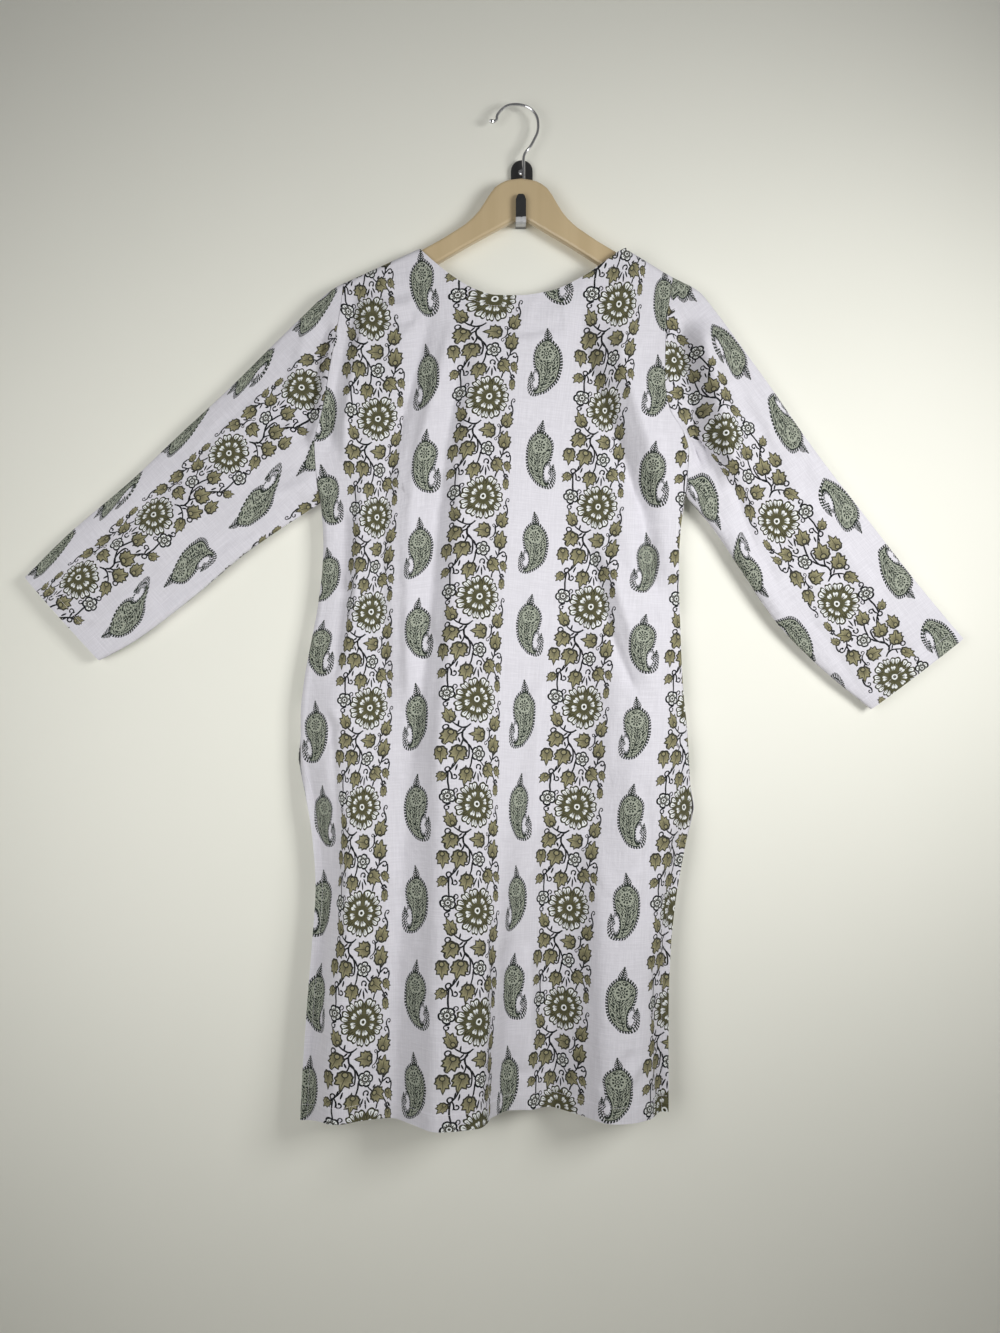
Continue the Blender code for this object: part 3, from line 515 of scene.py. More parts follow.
def shell(name, middle, normal, maps):
    """A thin closed shell of printed cloth with its print coordinates as UV maps."""
    rows, columns = middle.shape[:2]
    layers = [(middle + way * 0.5 * CLOTH * normal).reshape(-1, 3) for way in (1.0, -1.0)]
    vertices = np.concatenate(layers) * MM
    first, last, end = rows * columns, rows - 1, columns - 1

    def quads(*corners):
        """Faces from corners given as row, column and layer."""
        places = [row * columns + column + layer * first for row, column, layer in corners]
        return np.stack(np.broadcast_arrays(*places), 1)

    i, j = np.meshgrid(np.arange(last), np.arange(end), indexing="ij")
    i, j = i.ravel(), j.ravel()
    outer = quads((i, j, 0), (i + 1, j, 0), (i + 1, j + 1, 0), (i, j + 1, 0))
    inner = quads((i, j, 1), (i, j + 1, 1), (i + 1, j + 1, 1), (i + 1, j, 1))
    i, j = np.arange(last), np.arange(end)
    rims = [quads((0, j, 0), (0, j + 1, 0), (0, j + 1, 1), (0, j, 1)),
            quads((last, j, 0), (last, j, 1), (last, j + 1, 1), (last, j + 1, 0)),
            quads((i, 0, 0), (i, 0, 1), (i + 1, 0, 1), (i + 1, 0, 0)),
            quads((i, end, 0), (i + 1, end, 0), (i + 1, end, 1), (i, end, 1))]
    faces = np.concatenate([outer, inner] + rims)
    a, b, c = (vertices[outer[:, k]] for k in (0, 1, 3))
    facing = np.cross(b - a, c - a) * normal.reshape(-1, 3)[outer[:, 0]]
    if facing.sum() < 0:
        faces = faces[:, ::-1]
    obj = mesh_object(name, vertices.tolist(), faces.tolist(), (cotton_print, cotton_inside))
    mesh = obj.data
    slots = np.zeros(len(faces), int)
    slots[len(outer):len(outer) + len(inner)] = 1
    mesh.polygons.foreach_set("material_index", slots)
    for map_name, values in maps.items():
        both = np.concatenate([values.reshape(-1, 2)] * 2)[faces.ravel()]
        mesh.uv_layers.new(name=map_name).data.foreach_set("uv", both.ravel())
    mesh.shade_smooth()
    mesh.set_sharp_from_angle(angle=math.radians(CLOTH_SHARP))
    mesh.update()
    return obj


def crossing(values, reach):
    """Where along reach the values first pass from below zero to above, or None."""
    passes = np.nonzero((values[:-1] < 0) & (values[1:] >= 0))[0]
    if len(passes) == 0:
        return None
    j = passes[0]
    t = values[j] / (values[j] - values[j + 1])
    return reach[j] + t * (reach[j + 1] - reach[j])


def between_columns(place, heights, columns):
    """Distance down the cloth, read between columns of (place, [(height, down)])."""
    read = [carried_table(rows, heights) for _, rows in columns]
    places = [column[0] for column in columns]
    return sum(np.interp(place, places, shares) * values
               for shares, values in zip(np.eye(len(places)), read))


def near_panel_maps(grid):
    """Print coordinates of the near panel: its stripes pass through their places."""
    reach = arc_length(grid, 1)
    x, z = grid[..., 0], grid[..., 2]
    columns = [(place, rows) for place, _, rows in PAISLEY_COLUMNS]
    columns += [*FLOWER_COLUMNS, EDGE_COLUMN]
    across = np.zeros_like(x)
    wanted = [(place, carried_table([(height, at) for at, height in rows], z))
              for place, rows in sorted(columns)]
    for i in range(len(x)):
        knots = []
        for place, line in wanted:
            at = crossing(x[i] - line[i], reach[i])
            if at is not None and (not knots or at > knots[-1][0] + LEAST_STEP):
                knots.append((at, place))
        ends = knots[0][0], knots[-1][0]
        across[i] = smooth_table(knots, reach[i]) + past_ends(reach[i], ends, 1, 1)
    maps = {}
    for name, pitch, columns in (
            ("stripe_mm", FLOWER_PITCH, [(place, 0, rows) for place, rows in FLOWER_COLUMNS]),
            ("paisley_mm", PAISLEY_PITCH, PAISLEY_COLUMNS)):
        down = [(place, [(height, pitch * (k + first)) for k, (_, height) in enumerate(rows)])
                for place, first, rows in columns]
        maps[name] = np.stack([across, between_columns(across, z, down)], -1)
    return maps


def far_panel_maps(grid):
    """Print coordinates of the far panel, right way round seen from behind."""
    across = BACK_PRINT_START[0] - (grid[..., 0] - LEFT_EDGE[0][1])
    down = arc_length(grid, 0) + BACK_PRINT_START[1]
    stripe = np.stack([across, down], -1)
    return {"stripe_mm": stripe, "paisley_mm": stripe.copy()}


def sleeve_maps(grid, side, near_from):
    """Print coordinates of a sleeve: the print stands towards the cuff."""
    spots = SLEEVE_PRINT[side]
    flowers = np.array(spots["flowers"], float)
    grain = flowers[-1] - flowers[0]
    grain /= np.linalg.norm(grain)
    flat = grid[..., [0, 2]]
    forward = (flat - flowers[0]) @ grain

    def rows_of(points, pitch):
        return [(float((np.array(p) - flowers[0]) @ grain), -pitch * k)
                for k, p in enumerate(points)]

    stripe_down = carried_table(rows_of(flowers, FLOWER_PITCH), forward)
    plus = carried_table(rows_of(spots["plus"], PAISLEY_PITCH), forward)
    minus = carried_table(rows_of(spots["minus"], PAISLEY_PITCH), forward)
    # Three lines run down the sleeve: minus paisleys, flowers and plus paisleys.
    normal = np.array([grain[1], -grain[0]])
    if normal[1] > 0:
        normal = -normal
    reach = arc_length(grid, 1)[:, near_from:]
    away = (flat - flowers[0]) @ normal
    half = 0.5 * STRIPE_REPEAT
    lines = []
    for points, place in ((spots["minus"], -half), (flowers, 0.0), (spots["plus"], half)):
        off = np.array(points, float) - flowers[0]
        line = carried_table(list(zip(off @ grain, off @ normal)), forward, smooth=False)
        lines.append((place, (away - line)[:, near_from:]))
    across = np.zeros(grid.shape[:2])
    way = -1 if side == "left" else 1
    for i in range(len(grid)):
        knots = []
        for place, values in lines:
            at = crossing(values[i], reach[i])
            if at is not None:
                knots.append((at, place))
        if not knots:
            knots = [(reach[i, int(np.argmin(np.abs(lines[1][1][i])))], 0.0)]
        at, place = zip(*sorted(knots))
        full = arc_length(grid[i:i + 1], 1)[0]
        across[i] = np.interp(full, at, place) + past_ends(full, at, way, way)
    weight = np.clip(across / STRIPE_REPEAT + 0.5, 0, 1)
    paisley_down = minus + (plus - minus) * weight
    return {"stripe_mm": np.stack([across, stripe_down], -1),
            "paisley_mm": np.stack([across, paisley_down], -1)}


# ---------------------------------------------------------------- nodes
def srgb(red, green, blue):
    """Linear colour from sRGB values of 0 to 255."""
    linear = []
    for value in (red, green, blue):
        value /= 255.0
        linear.append(value / 12.92 if value <= 0.04045 else ((value + 0.055) / 1.055) ** 2.4)
    return (*linear, 1.0)


class Value:
    """A node's output that plain arithmetic works on; each step makes one Math node.

    < and > give masks, 1 where they hold and 0 elsewhere, to be joined by | or by *.
    """

    def __init__(self, net, socket):
        self.net = net
        self.socket = socket

    def __rsub__(self, other):
        return self.net.m("SUBTRACT", other, self)

    def __truediv__(self, other):
        return self.net.m("MULTIPLY", self, 1 / other)

    def __neg__(self):
        return self.net.m("MULTIPLY", self, -1.0)

    def near(self, other, reach):
        return self.net.m("COMPARE", self, other, reach)


def math_step(operation):
    """Method of Value that makes a Math node of one operation."""
    return lambda first, *others: first.net.m(operation, first, *others)


for sign, operation in {"add": "ADD", "sub": "SUBTRACT", "mul": "MULTIPLY", "pow": "POWER",
                        "abs": "ABSOLUTE", "lt": "LESS_THAN", "gt": "GREATER_THAN",
                        "or": "MAXIMUM", "and": "MINIMUM"}.items():
    setattr(Value, "__" + sign + "__", math_step(operation))


class Net:
    """Short names for making the nodes of one tree, in the order they are used."""

    def __init__(self, tree):
        self.tree = tree

    def put(self, socket, value):
        if isinstance(value, Value):
            value = value.socket
        if isinstance(value, bpy.types.NodeSocket):
            self.tree.links.new(value, socket)
        else:
            socket.default_value = value

    def node(self, kind, inputs=(), out=0, **settings):
        """A node's output; inputs are (place or name, value), out a place or name."""
        node = self.tree.nodes.new("ShaderNode" + kind)
        for key, value in settings.items():
            setattr(node, key, value)
        for place, value in inputs:
            self.put(node.inputs[place], value)
        return Value(self, node.outputs[out])

    def m(self, operation, *values):
        return self.node("Math", enumerate(values), operation=operation)

    def length(self, vector):
        return self.node("VectorMath", [(0, vector)], 1, operation="LENGTH")

    def moved(self, vector, other):
        return self.node("VectorMath", [(0, vector), (1, other)], operation="ADD")

    def vector(self, x, y):
        return self.node("CombineXYZ", [(0, x), (1, y)])

    def parts(self, vector):
        """The x, y and z of a vector."""
        x = self.node("SeparateXYZ", [(0, vector)])
        return [Value(self, x.socket.node.outputs[k]) for k in range(3)]

    def xy(self, vector):
        return self.parts(vector)[:2]

    def mix(self, factor, first, second):
        return self.node("Mix", [(0, factor), (6, first), (7, second)], 2, data_type="RGBA")

    def mix_value(self, factor, first, second):
        return self.node("Mix", [(0, factor), (2, first), (3, second)], data_type="FLOAT")

    def mix_vector(self, factor, first, second):
        return self.node("Mix", [(0, factor), (4, first), (5, second)], 1, data_type="VECTOR")

    def placed(self, vector, centre, angle, scale):
        """The vector in the frame of something at a centre, turned and scaled."""
        inputs = [(0, vector), (1, (*centre, 0.0)), (2, (0.0, 0.0, angle)),
                  (3, (*scale, 1.0))]
        return self.node("Mapping", inputs, vector_type="TEXTURE")

    def curve(self, points, at, pointed=False):
        """A smooth or pointed curve through (x, y) points from 0 to 1, read at a socket."""
        read = self.node("FloatCurve", [(1, at)])
        mapping = read.socket.node.mapping
        line = mapping.curves[0]
        while len(line.points) > 2:
            line.points.remove(line.points[1])
        line.points[0].location = points[0]
        line.points[-1].location = points[-1]
        for point in points[1:-1]:
            line.points.new(*point)
        for point in line.points:
            point.handle_type = "VECTOR" if pointed else "AUTO"
        mapping.update()
        return read

    def wave(self, value, count=1.0, shift=0.0):
        """0 at every whole step of value times count, 0.5 halfway between steps."""
        return self.m("PINGPONG", value * count + shift, 0.5)

    def turn(self, y, x):
        """Turns from the x axis to (x, y), from -0.5 to 0.5."""
        return self.m("ARCTAN2", y, x) * (0.5 / math.pi)

    def most(self, values):
        total = values[0]
        for value in values[1:]:
            total = total | value
        return total

    def noise(self, vector, scale, detail=2.0, roughness=0.5, dimensions="2D", out=0):
        return self.node("TexNoise", [("Vector", vector), ("Scale", scale), ("Detail", detail),
                                      ("Roughness", roughness)], out,
                         noise_dimensions=dimensions)

    def bump(self, strength, depth, height):
        """Normals for a height, whose depth is in mm."""
        return self.node("Bump", [("Strength", strength), ("Distance", depth * MM),
                                  ("Height", height)])


def turned(direction):
    """Angle that turns 'up' in the print (0, -1) to a direction."""
    return math.atan2(direction[0], -direction[1])


def curl(start, travel, side, radius):
    """Frame of a curl that leaves start along travel and winds to its right (side 1)."""
    size = math.hypot(*travel)
    tx, ty = travel[0] / size, travel[1] / size
    centre = (start[0] - side * radius * ty, start[1] + side * radius * tx)
    return centre, turned(travel), (side * radius, radius)


def nearest(net, place, frames):
    """The place in the frame of whichever of the frames it is nearest to."""
    best = distance = None
    for centre, angle, scale in frames:
        local = net.placed(place, centre, angle, scale)
        away = net.length(local)
        if best is None:
            best, distance = local, away
        else:
            nearer = away < distance
            best = net.mix_vector(nearer, best, local)
            distance = away & distance
    return best, distance


# One repeat of the flower stripe, in millimetres from the big flower's centre,
# across and down.  Leaves: centre, width, length, direction of the tip.
LEAVES = (
    ((-30, 17), 11, 18, (-0.45, -1)), ((-29.5, 39), 15, 18, (-0.55, 1)),
    ((-38, 58.5), 12, 18, (0, 1)), ((-20.5, 59), 16, 19, (-0.35, 1)),
    ((3, 40), 15, 18, (-1, -0.1)), ((25.5, 27), 14, 18, (0.5, -1)),
    ((24, 51.5), 15, 20, (0.25, -1)), ((15.5, 79.5), 15, 17, (1, 0.75)),
    ((30, 80), 8, 13, (0.5, 1)), ((-12.5, 84.5), 14, 18, (-0.25, 1)),
    ((-38.5, 84.5), 9, 12, (-0.8, 1)), ((29, 101), 7.5, 14.5, (0, 1)),
)
SMALL_FLOWERS = (((2, 61.5), 0, 9.2), ((-33, -10), 0.5, 9.2), ((-33, 108), 0.5, 9.2))
CURLS = (
    ((31.2, 11), (0, -1), -1, 2.4), ((12, 47.4), (-1, 0), -1, 2),
    ((17, 33.5), (0, -1), -1, 1.9), ((28, 64), (0.8, -0.6), 1, 3.2),
    ((25.4, 91), (-0.3, 1), -1, 2.7), ((-28.5, 86), (0, 1), -1, 2.9),
    ((-24.5, 103.5), (1, 0), -1, 2.4), ((-35.5, 0.4), (-0.8, 0.5), -1, 2.8),
    ((-32.5, 48.8), (-1, 0.2), 1, 3.5), ((-31.2, 80.6), (-1, 0.1), 1, 3.3),
    ((-10, 65), (-0.25, 1), 1, 3), ((-0.4, 79), (-0.6, -0.8), 1, 3.3),
    ((30.6, 2.6), (-0.1, -1), 1, 2.3), ((-35, 31.5), (-0.7, -0.7), 1, 3.2),
)
# Stems read down the cloth: (down, across) points; and the ones read across it.
STEMS_DOWN = (
    ((28, -7.6), (31, -11.5), (34, -15.4), (39, -16.4), (45, -14.6), (52, -8.4), (57, -6.2)),
    ((43, -15.2), (50, -10.4), (58, -9.2), (66, -10.4)),
    ((43.5, -15.2), (47, -16.2), (53, -19.5)),
    ((65, -6), (73, -7.2), (80, -10.5)),
    ((79.5, -31.5), (88, -32.3), (101, -31.6)),
    ((33, 16.9), (38, 17.4), (43, 16.6), (47.6, 12)),
    ((58, 22.6), (64, 23.2), (69, 21.4), (74, 17.2)),
    ((67, 33.6), (73, 33.8), (78, 31.2)),
    ((84, 22.4), (88, 25.6), (92, 27.4), (98, 28.4)),
    ((2.4, 30.6), (6, 30), (10, 31.9), (15, 32.9), (21, 31.8)),
    ((88, -28.4), (84, -28.2), (79.5, -30)),
)
STEMS_ACROSS = (
    ((-28.5, 22), (-22, 28), (-15, 31), (-7.8, 28)),
    ((-25, 38.5), (-18, 37), (-13.2, 33)),
    ((-22, 69), (-27, 75.5), (-31.5, 80), (-36.5, 83)),
    ((4.5, 70), (10, 76), (14.5, 78)),
    ((16.4, 36), (19, 34.5), (23, 31.5)),
    ((16.8, 46.4), (19.5, 47.6), (22, 49.5)),
    ((22.6, 67), (25, 65.8), (28.2, 63.8)),
    ((-35.5, 0.4), (-33, -0.6), (-30.5, -2)),
)
# Short pointed strokes: centre, direction, length.
TWIGS = (
    ((-20.6, 26), (0.2, -1), 6.5), ((-19.4, 33.6), (-1, 0.9), 5),
    ((-19.6, 45), (-0.4, -1), 5.5), ((20.2, 41), (0.8, -0.7), 5.5),
    ((-27, 73.6), (0.3, -1), 6), ((-23, 75.8), (0.3, -1), 6.5),
    ((19.6, 66), (-0.5, -1), 6.5), ((30.8, 91.5), (0.7, 1), 5),
    ((-3, 86.5), (-0.4, 1), 9.5), ((1.4, 88.5), (0.05, 1), 9),
    ((4.6, 84.5), (0.5, 1), 7), ((-6.2, 83.6), (-0.8, 0.8), 5.5),
    ((14.6, 92), (-0.3, 1), 7), ((25.6, 60.6), (0.5, -1), 4.5),
    ((-13.5, 76.5), (0.1, -1), 5), ((12.2, 70.6), (0.8, -0.6), 4.5),
)
STEM_HALF, STEM_OVER = 0.92, 0.3    # half width of a stem, and its length past its ends
TWIG_HALF = 0.55                    # half length of a twig, beside the length given
# A curl is part of a ring, tightening over a turn, with a dot at its end.
CURL = {"radius": 0.80, "tighten": 0.34, "half": 0.25, "end": 0.27, "dot": (0.1, 0.70),
        "dot_size": 0.42}
TILE_DOWN = (-9.6, 120)   # down the cloth: start and length of the curves' domain
TILE_ACROSS = (-45, 90)
# Leaf: angle from its tip in degrees, then radius as a part of its half length.
LEAF_OUTLINE = ((0, 1.32), (10, 0.98), (23, 0.72), (36, 0.86), (46, 1.03), (56, 0.82),
                (67, 0.75), (78, 0.96), (88, 0.80), (102, 0.77), (118, 0.90), (128, 0.81),
                (152, 0.86), (170, 0.78), (180, 0.74))
LEAF_REACH = 1.4            # no leaf reaches further than this, in half lengths
LEAF_SIZE = (0.6778, 0.545) # half width and half length, beside those given
LEAF_EYE = {"centre": (0.06, 0.40), "half": (0.33, 0.29), "light": 0.8, "ring": (0.85, 0.20)}
LEAF = {"vein": 0.03, "vein_to": 0.15, "outline": 0.15, "edge": -0.06, "ink": 0.88}
LEAF_SHADE = (0.45, 0.75, 0.02)     # along the leaf, towards its middle, everywhere
# Small flower, in its own radius: petals, the dip between them, lines, star and ring.
BLOOM = {"petals": 5, "dip": 0.20, "round": 2.6, "outline": 0.23, "split": 0.43,
         "split_from": 0.5, "rays": 15, "star": 0.70, "star_dip": 0.6, "ring": (0.21, 0.055)}
# Big flower: angle across half an outer petal (0 in its middle, 1 between two), then
# the radius there in mm; half widths of the white lobes by radius, in parts of a petal.
FLOWER_REACH = 27.0
FLOWER_EDGE = ((0, 25), (0.16, 25.4), (0.40, 26.3), (0.60, 26), (0.78, 24.6),
               (0.90, 22.8), (1, 20.6))
OUTER_LOBES = ((0, 0), (17, 0), (18.4, 0.07), (20, 0.115), (21.8, 0.155), (22.8, 0.155),
               (23.8, 0.11), (24.4, 0), (27, 0))
INNER_LOBES = ((0, 0), (8, 0), (9.2, 0.05), (10.6, 0.10), (11.9, 0.15), (12.8, 0.16),
               (13.7, 0.12), (14.3, 0.06), (14.7, 0), (27, 0))
# Number of outer and inner petals and fine rays; where a petal's paired lobes lie, in
# parts of a petal; and how much wider the line round them is (times, plus).
PETALS, INNER_PETALS, RAYS = 11, 8, 55
INNER_START = 0.3
OUTER_LOBE, INNER_LOBE = 0.20, 0.17
OUTER_LINE, INNER_LINE = (1.25, 0.01), (1.35, 0.01)
# Rings in mm: radius and half width.
RAY_RINGS, RAY_HALF = ((5.6, 1.8), (16.8, 2.2)), 0.17
EYE_RING, EYE = (2.7, 0.85), 1.5
FLOWER_OUTLINE = 1.7
PETAL_GAP, PETAL_GAP_FROM = 0.455, 18.0
OUTER_RIB, INNER_RIB = ((0.22, 0.028), (19.4, 3.2)), ((0.17, 0.022), (9.8, 2.2))
FLOWER_INK = 0.95
# The hand-cut block is uneven: parts of a turn, waves round the flower, start.
FLOWER_WAVER = ((0.012, 3, 0.13), (0.008, 5, 0.61))
WAVER_REACH = 0.02
# Paisley: angle in degrees from straight up, turning right, then the radius in mm, for
# one whose tail curls to the left.
PAISLEY_BODY = ((-180, 27.6), (-171, 29.6), (-162, 31.4), (-153, 32.2), (-144, 30.6),
                (-135, 27), (-127, 23.4), (-122, 15.5), (-116, 11.2), (-105, 11),
                (-90, 11.7), (-69, 14.2), (-45, 20.7), (-33, 24.7), (-18, 28), (-6, 29.8),
                (4, 29.7), (16, 27.4), (30, 23.9), (43, 20.2), (61, 16.4), (90, 13.8),
                (122, 15), (144, 17.8), (158, 20.5), (171, 24.2), (180, 27.6))
PAISLEY_RADIUS = 34.0
PAISLEY_DROP = 2.2           # how far below the middle of its pitch the outline's centre is
PAISLEY_EDGE = {"ink_from": -1.7, "line": (-0.2, 0.75), "end": 0.35}
HOLLOW = {"centre": (-11.2, 14.2), "lean": -0.06, "half": (4.9, 12), "hairs": 17,
          "fringe": (0.6, 0.8)}
HAIR = {"length": 3, "spacing": 3.1, "part": 0.34}
# The tail is a stem with hairs, left of an edge and this near the hollow.
HOOK = {"edge": -13, "reach": 7.5, "stem": -1.4, "hair": 0.24}
# Fir-like sprays: centre, lean, half width and half height; their half width by height.
SPRAYS = (((-1, -37.4), -0.16, (4.9, 7.6)), ((-17.2, 9.6), -0.10, (4.6, 6.6)))
SPRAY_WIDTHS = ((0, 0.12), (0.3, 0.5), (0.6, 0.9), (0.85, 1), (0.95, 0.7), (1, 0.3))
BLADE = {"slope": 0.9, "pitch": 2.7, "part": 0.34, "stem": 0.7}
# Inside, in mm: the bowed axis, rows of drops along it, veins beside it, a rosette.
AXIS = {"bow": 0.008, "shift": 1.6, "half": 0.45}
DROPS = {"pitch": 3.7, "wander": 2.2, "part": 0.30}
VEINS = {"pitch": 4.6, "part": 0.41}
WANDER = 0.22
ROSETTE = {"centre": (-0.6, -15.6), "reach": 8, "petals": 9, "part": 0.28,
           "ring": (5, 1.3), "inner": (2.5, 0.5), "eye": 0.9}


# ---------------------------------------------------------------- the print
INK = srgb(18, 20, 22)
OLIVE = srgb(142, 137, 104)
DARK_OLIVE = srgb(68, 64, 46)
FLOWER_OLIVE = srgb(86, 84, 57)
FLOWER_LINE = srgb(46, 45, 30)
BLOOM_CORE = srgb(62, 62, 54)
PETAL = srgb(222, 224, 222)
PAISLEY_GROUND = srgb(158, 163, 148)
PAISLEY_LINE = srgb(36, 43, 36)
COTTON = srgb(216, 214, 220)
COTTON_SHADE = srgb(206, 204, 210)
HAND_PRINT, HAND_SCALE = 1.3, 0.09  # how far the blocks' lines waver, in mm, and how often
SLUBS = ((1.3, 30.0), (30.0, 1.3))  # sizes in mm of the cloth's thicker threads
SLUB_CONTRAST = (2.2, -1.6)
SLUBS_IN_PRINT = 0.025


def stem_masks(net, read_at, measured, stems, domain, cross_domain):
    """Masks of stems given as curves: measured is where the curve read at read_at lies."""
    (first, size), (across_first, across_size) = domain, cross_domain
    masks = []
    for points in stems:
        points = sorted(points)
        scaled = [((a - first) / size, (b - across_first) / across_size) for a, b in points]
        run = points[-1][0] - points[0][0]
        climb = sum(abs(q[1] - p[1]) for p, q in zip(points, points[1:]))
        half = STEM_HALF * math.hypot(run, climb) / run
        line = measured.near(net.curve(scaled, read_at), half / across_size)
        middle = (points[0][0] + 0.5 * run - first) / size
        masks.append(line * read_at.near(middle, (0.5 * run + STEM_OVER) / size))
    return masks


def vine_layer(net, place, under):
    """Stems, twigs and curls of one stripe over the colour under."""
    across, down = net.xy(place)
    across = (across - TILE_ACROSS[0]) / TILE_ACROSS[1]
    down = (down - TILE_DOWN[0]) / TILE_DOWN[1]
    marks = stem_masks(net, down, across, STEMS_DOWN, TILE_DOWN, TILE_ACROSS)
    marks += stem_masks(net, across, down, STEMS_ACROSS, TILE_ACROSS, TILE_DOWN)
    for centre, direction, length in TWIGS:
        half = (1.0, TWIG_HALF * length)
        marks.append(net.length(net.placed(place, centre, turned(direction), half)) < 1.0)
    local, away = nearest(net, place, [curl(*row) for row in CURLS])
    x, y = net.xy(local)
    turn = net.turn(y, x)
    ring = away.near(CURL["radius"] - turn * CURL["tighten"], CURL["half"])
    marks.append(ring * (turn < CURL["end"]))
    marks.append(net.length(net.placed(local, CURL["dot"], 0.0, [CURL["dot_size"]] * 2)) < 1.0)
    return net.mix(net.most(marks), under, INK)


def leaf_layer(net, place, under):
    """Leaves with an outline, a vein and an eye, over the colour under."""
    frames = [(centre, turned(tip), (LEAF_SIZE[0] * width, LEAF_SIZE[1] * length))
              for centre, width, length, tip in LEAVES]
    local, away = nearest(net, place, frames)
    x, y = net.xy(local)
    angle = net.turn(abs(x), -y) * 2.0
    outline = [(a / 180, r / LEAF_REACH) for a, r in LEAF_OUTLINE]
    inside = net.curve(outline, angle, pointed=True) * LEAF_REACH - away
    along_it, inward, everywhere = LEAF_SHADE
    fill = net.mix(y * along_it + (inside * inward + everywhere), OLIVE, DARK_OLIVE)
    eye = net.length(net.placed(local, LEAF_EYE["centre"], 0.0, LEAF_EYE["half"]))
    fill = net.mix(eye < LEAF_EYE["light"], fill, OLIVE)
    vein = x.near(0.0, LEAF["vein"]) * (y < LEAF["vein_to"]) * (eye > 1.0)
    lines = vein | eye.near(*LEAF_EYE["ring"]) | (inside < LEAF["outline"])
    fill = net.mix(lines * LEAF["ink"], fill, INK)
    return net.mix(inside > LEAF["edge"], under, fill)


def bloom_layer(net, place, under):
    """Small outlined flowers over the colour under."""
    frames = [(centre, angle, (radius, radius)) for centre, angle, radius in SMALL_FLOWERS]
    local, away = nearest(net, place, frames)
    x, y = net.xy(local)
    turn = net.turn(y, x)
    petal = net.wave(turn, BLOOM["petals"])
    gap = 1.0 - (petal * 2.0) ** BLOOM["round"] * BLOOM["dip"] - away
    split = (petal > BLOOM["split"]) * (away > BLOOM["split_from"])
    star = BLOOM["star"] - net.wave(turn, BLOOM["rays"]) * BLOOM["star_dip"]
    core = (away < star) * (1.0 - away.near(*BLOOM["ring"]))
    fill = net.mix(core, PETAL, BLOOM_CORE)
    fill = net.mix((gap < BLOOM["outline"]) | split, fill, INK)
    return net.mix(gap > 0.0, under, fill)


def big_flower_layer(net, place, under):
    """The big flower round (0, 0) of place, over the colour under."""
    away = net.length(place)
    x, y = net.xy(place)
    turn = even = net.turn(y, x)
    for size, waves, start in FLOWER_WAVER:
        swing = net.m("SINE", even * (2 * math.pi * waves) + start * 2 * math.pi)
        turn = swing * size + turn
        away = away * (swing * WAVER_REACH + 1.0)
    reach = away / FLOWER_REACH
    petal = net.wave(turn, PETALS)
    inner = net.wave(turn, INNER_PETALS, INNER_START)
    edge = net.curve([(a, r / FLOWER_REACH) for a, r in FLOWER_EDGE], petal * 2.0)
    gap = edge * FLOWER_REACH - away
    dark = (gap < FLOWER_OUTLINE) | (away < EYE)
    white = away.near(*EYE_RING)
    for part, middle, lobes, (wider, more) in (
            (petal, OUTER_LOBE, OUTER_LOBES, OUTER_LINE),
            (inner, INNER_LOBE, INNER_LOBES, INNER_LINE)):
        half = net.curve([(r / FLOWER_REACH, width) for r, width in lobes], reach)
        dark = dark | part.near(middle, half * wider + more)
        white = white | part.near(middle, half)
    rings = away.near(*RAY_RINGS[0]) | away.near(*RAY_RINGS[1])
    dark = dark | (net.wave(turn, RAYS) < RAY_HALF) * rings
    dark = dark | (petal > PETAL_GAP) * (away > PETAL_GAP_FROM)
    fill = net.mix(dark * FLOWER_INK, FLOWER_OLIVE, FLOWER_LINE)
    fill = net.mix(white, fill, PETAL)
    for part, (across, along_it) in ((petal, OUTER_RIB), (inner, INNER_RIB)):
        fill = net.mix(part.near(*across) * away.near(*along_it), fill, FLOWER_LINE)
    return net.mix(gap > 0.0, under, fill)


def outline_share(rows):
    """Share of the way round a polar outline at each of its angles, and its length."""
    points = [(r * math.cos(math.radians(a)), r * math.sin(math.radians(a)))
              for a, r in rows]
    reach = [0.0]
    for p, q in zip(points, points[1:]):
        reach.append(reach[-1] + math.dist(p, q))
    shares = [(a / 360 + 0.5, far / reach[-1]) for (a, _), far in zip(rows, reach)]
    return shares, reach[-1]


def paisley_inside(net, place):
    """Dark strokes in a paisley: a rosette above feathered rows of drops."""
    x, y = net.xy(place)
    wander = net.noise(place, WANDER, detail=1.0)
    side = abs(x - (AXIS["shift"] - y ** 2.0 * AXIS["bow"]))
    drops = net.wave((y + side) / DROPS["pitch"] + wander * DROPS["wander"])
    veins = net.wave(side / VEINS["pitch"] + wander)
    dark = (drops < DROPS["part"]) * (veins < VEINS["part"]) | (side < AXIS["half"])
    local = net.placed(place, ROSETTE["centre"], 0.0, (1.0, 1.0))
    away = net.length(local)
    x, y = net.xy(local)
    petals = net.wave(net.turn(y, x), ROSETTE["petals"]) < ROSETTE["part"]
    rosette = (away.near(*ROSETTE["ring"]) * petals | away.near(*ROSETTE["inner"])
               | (away < ROSETTE["eye"]))
    return net.mix_value(away < ROSETTE["reach"], dark, rosette)


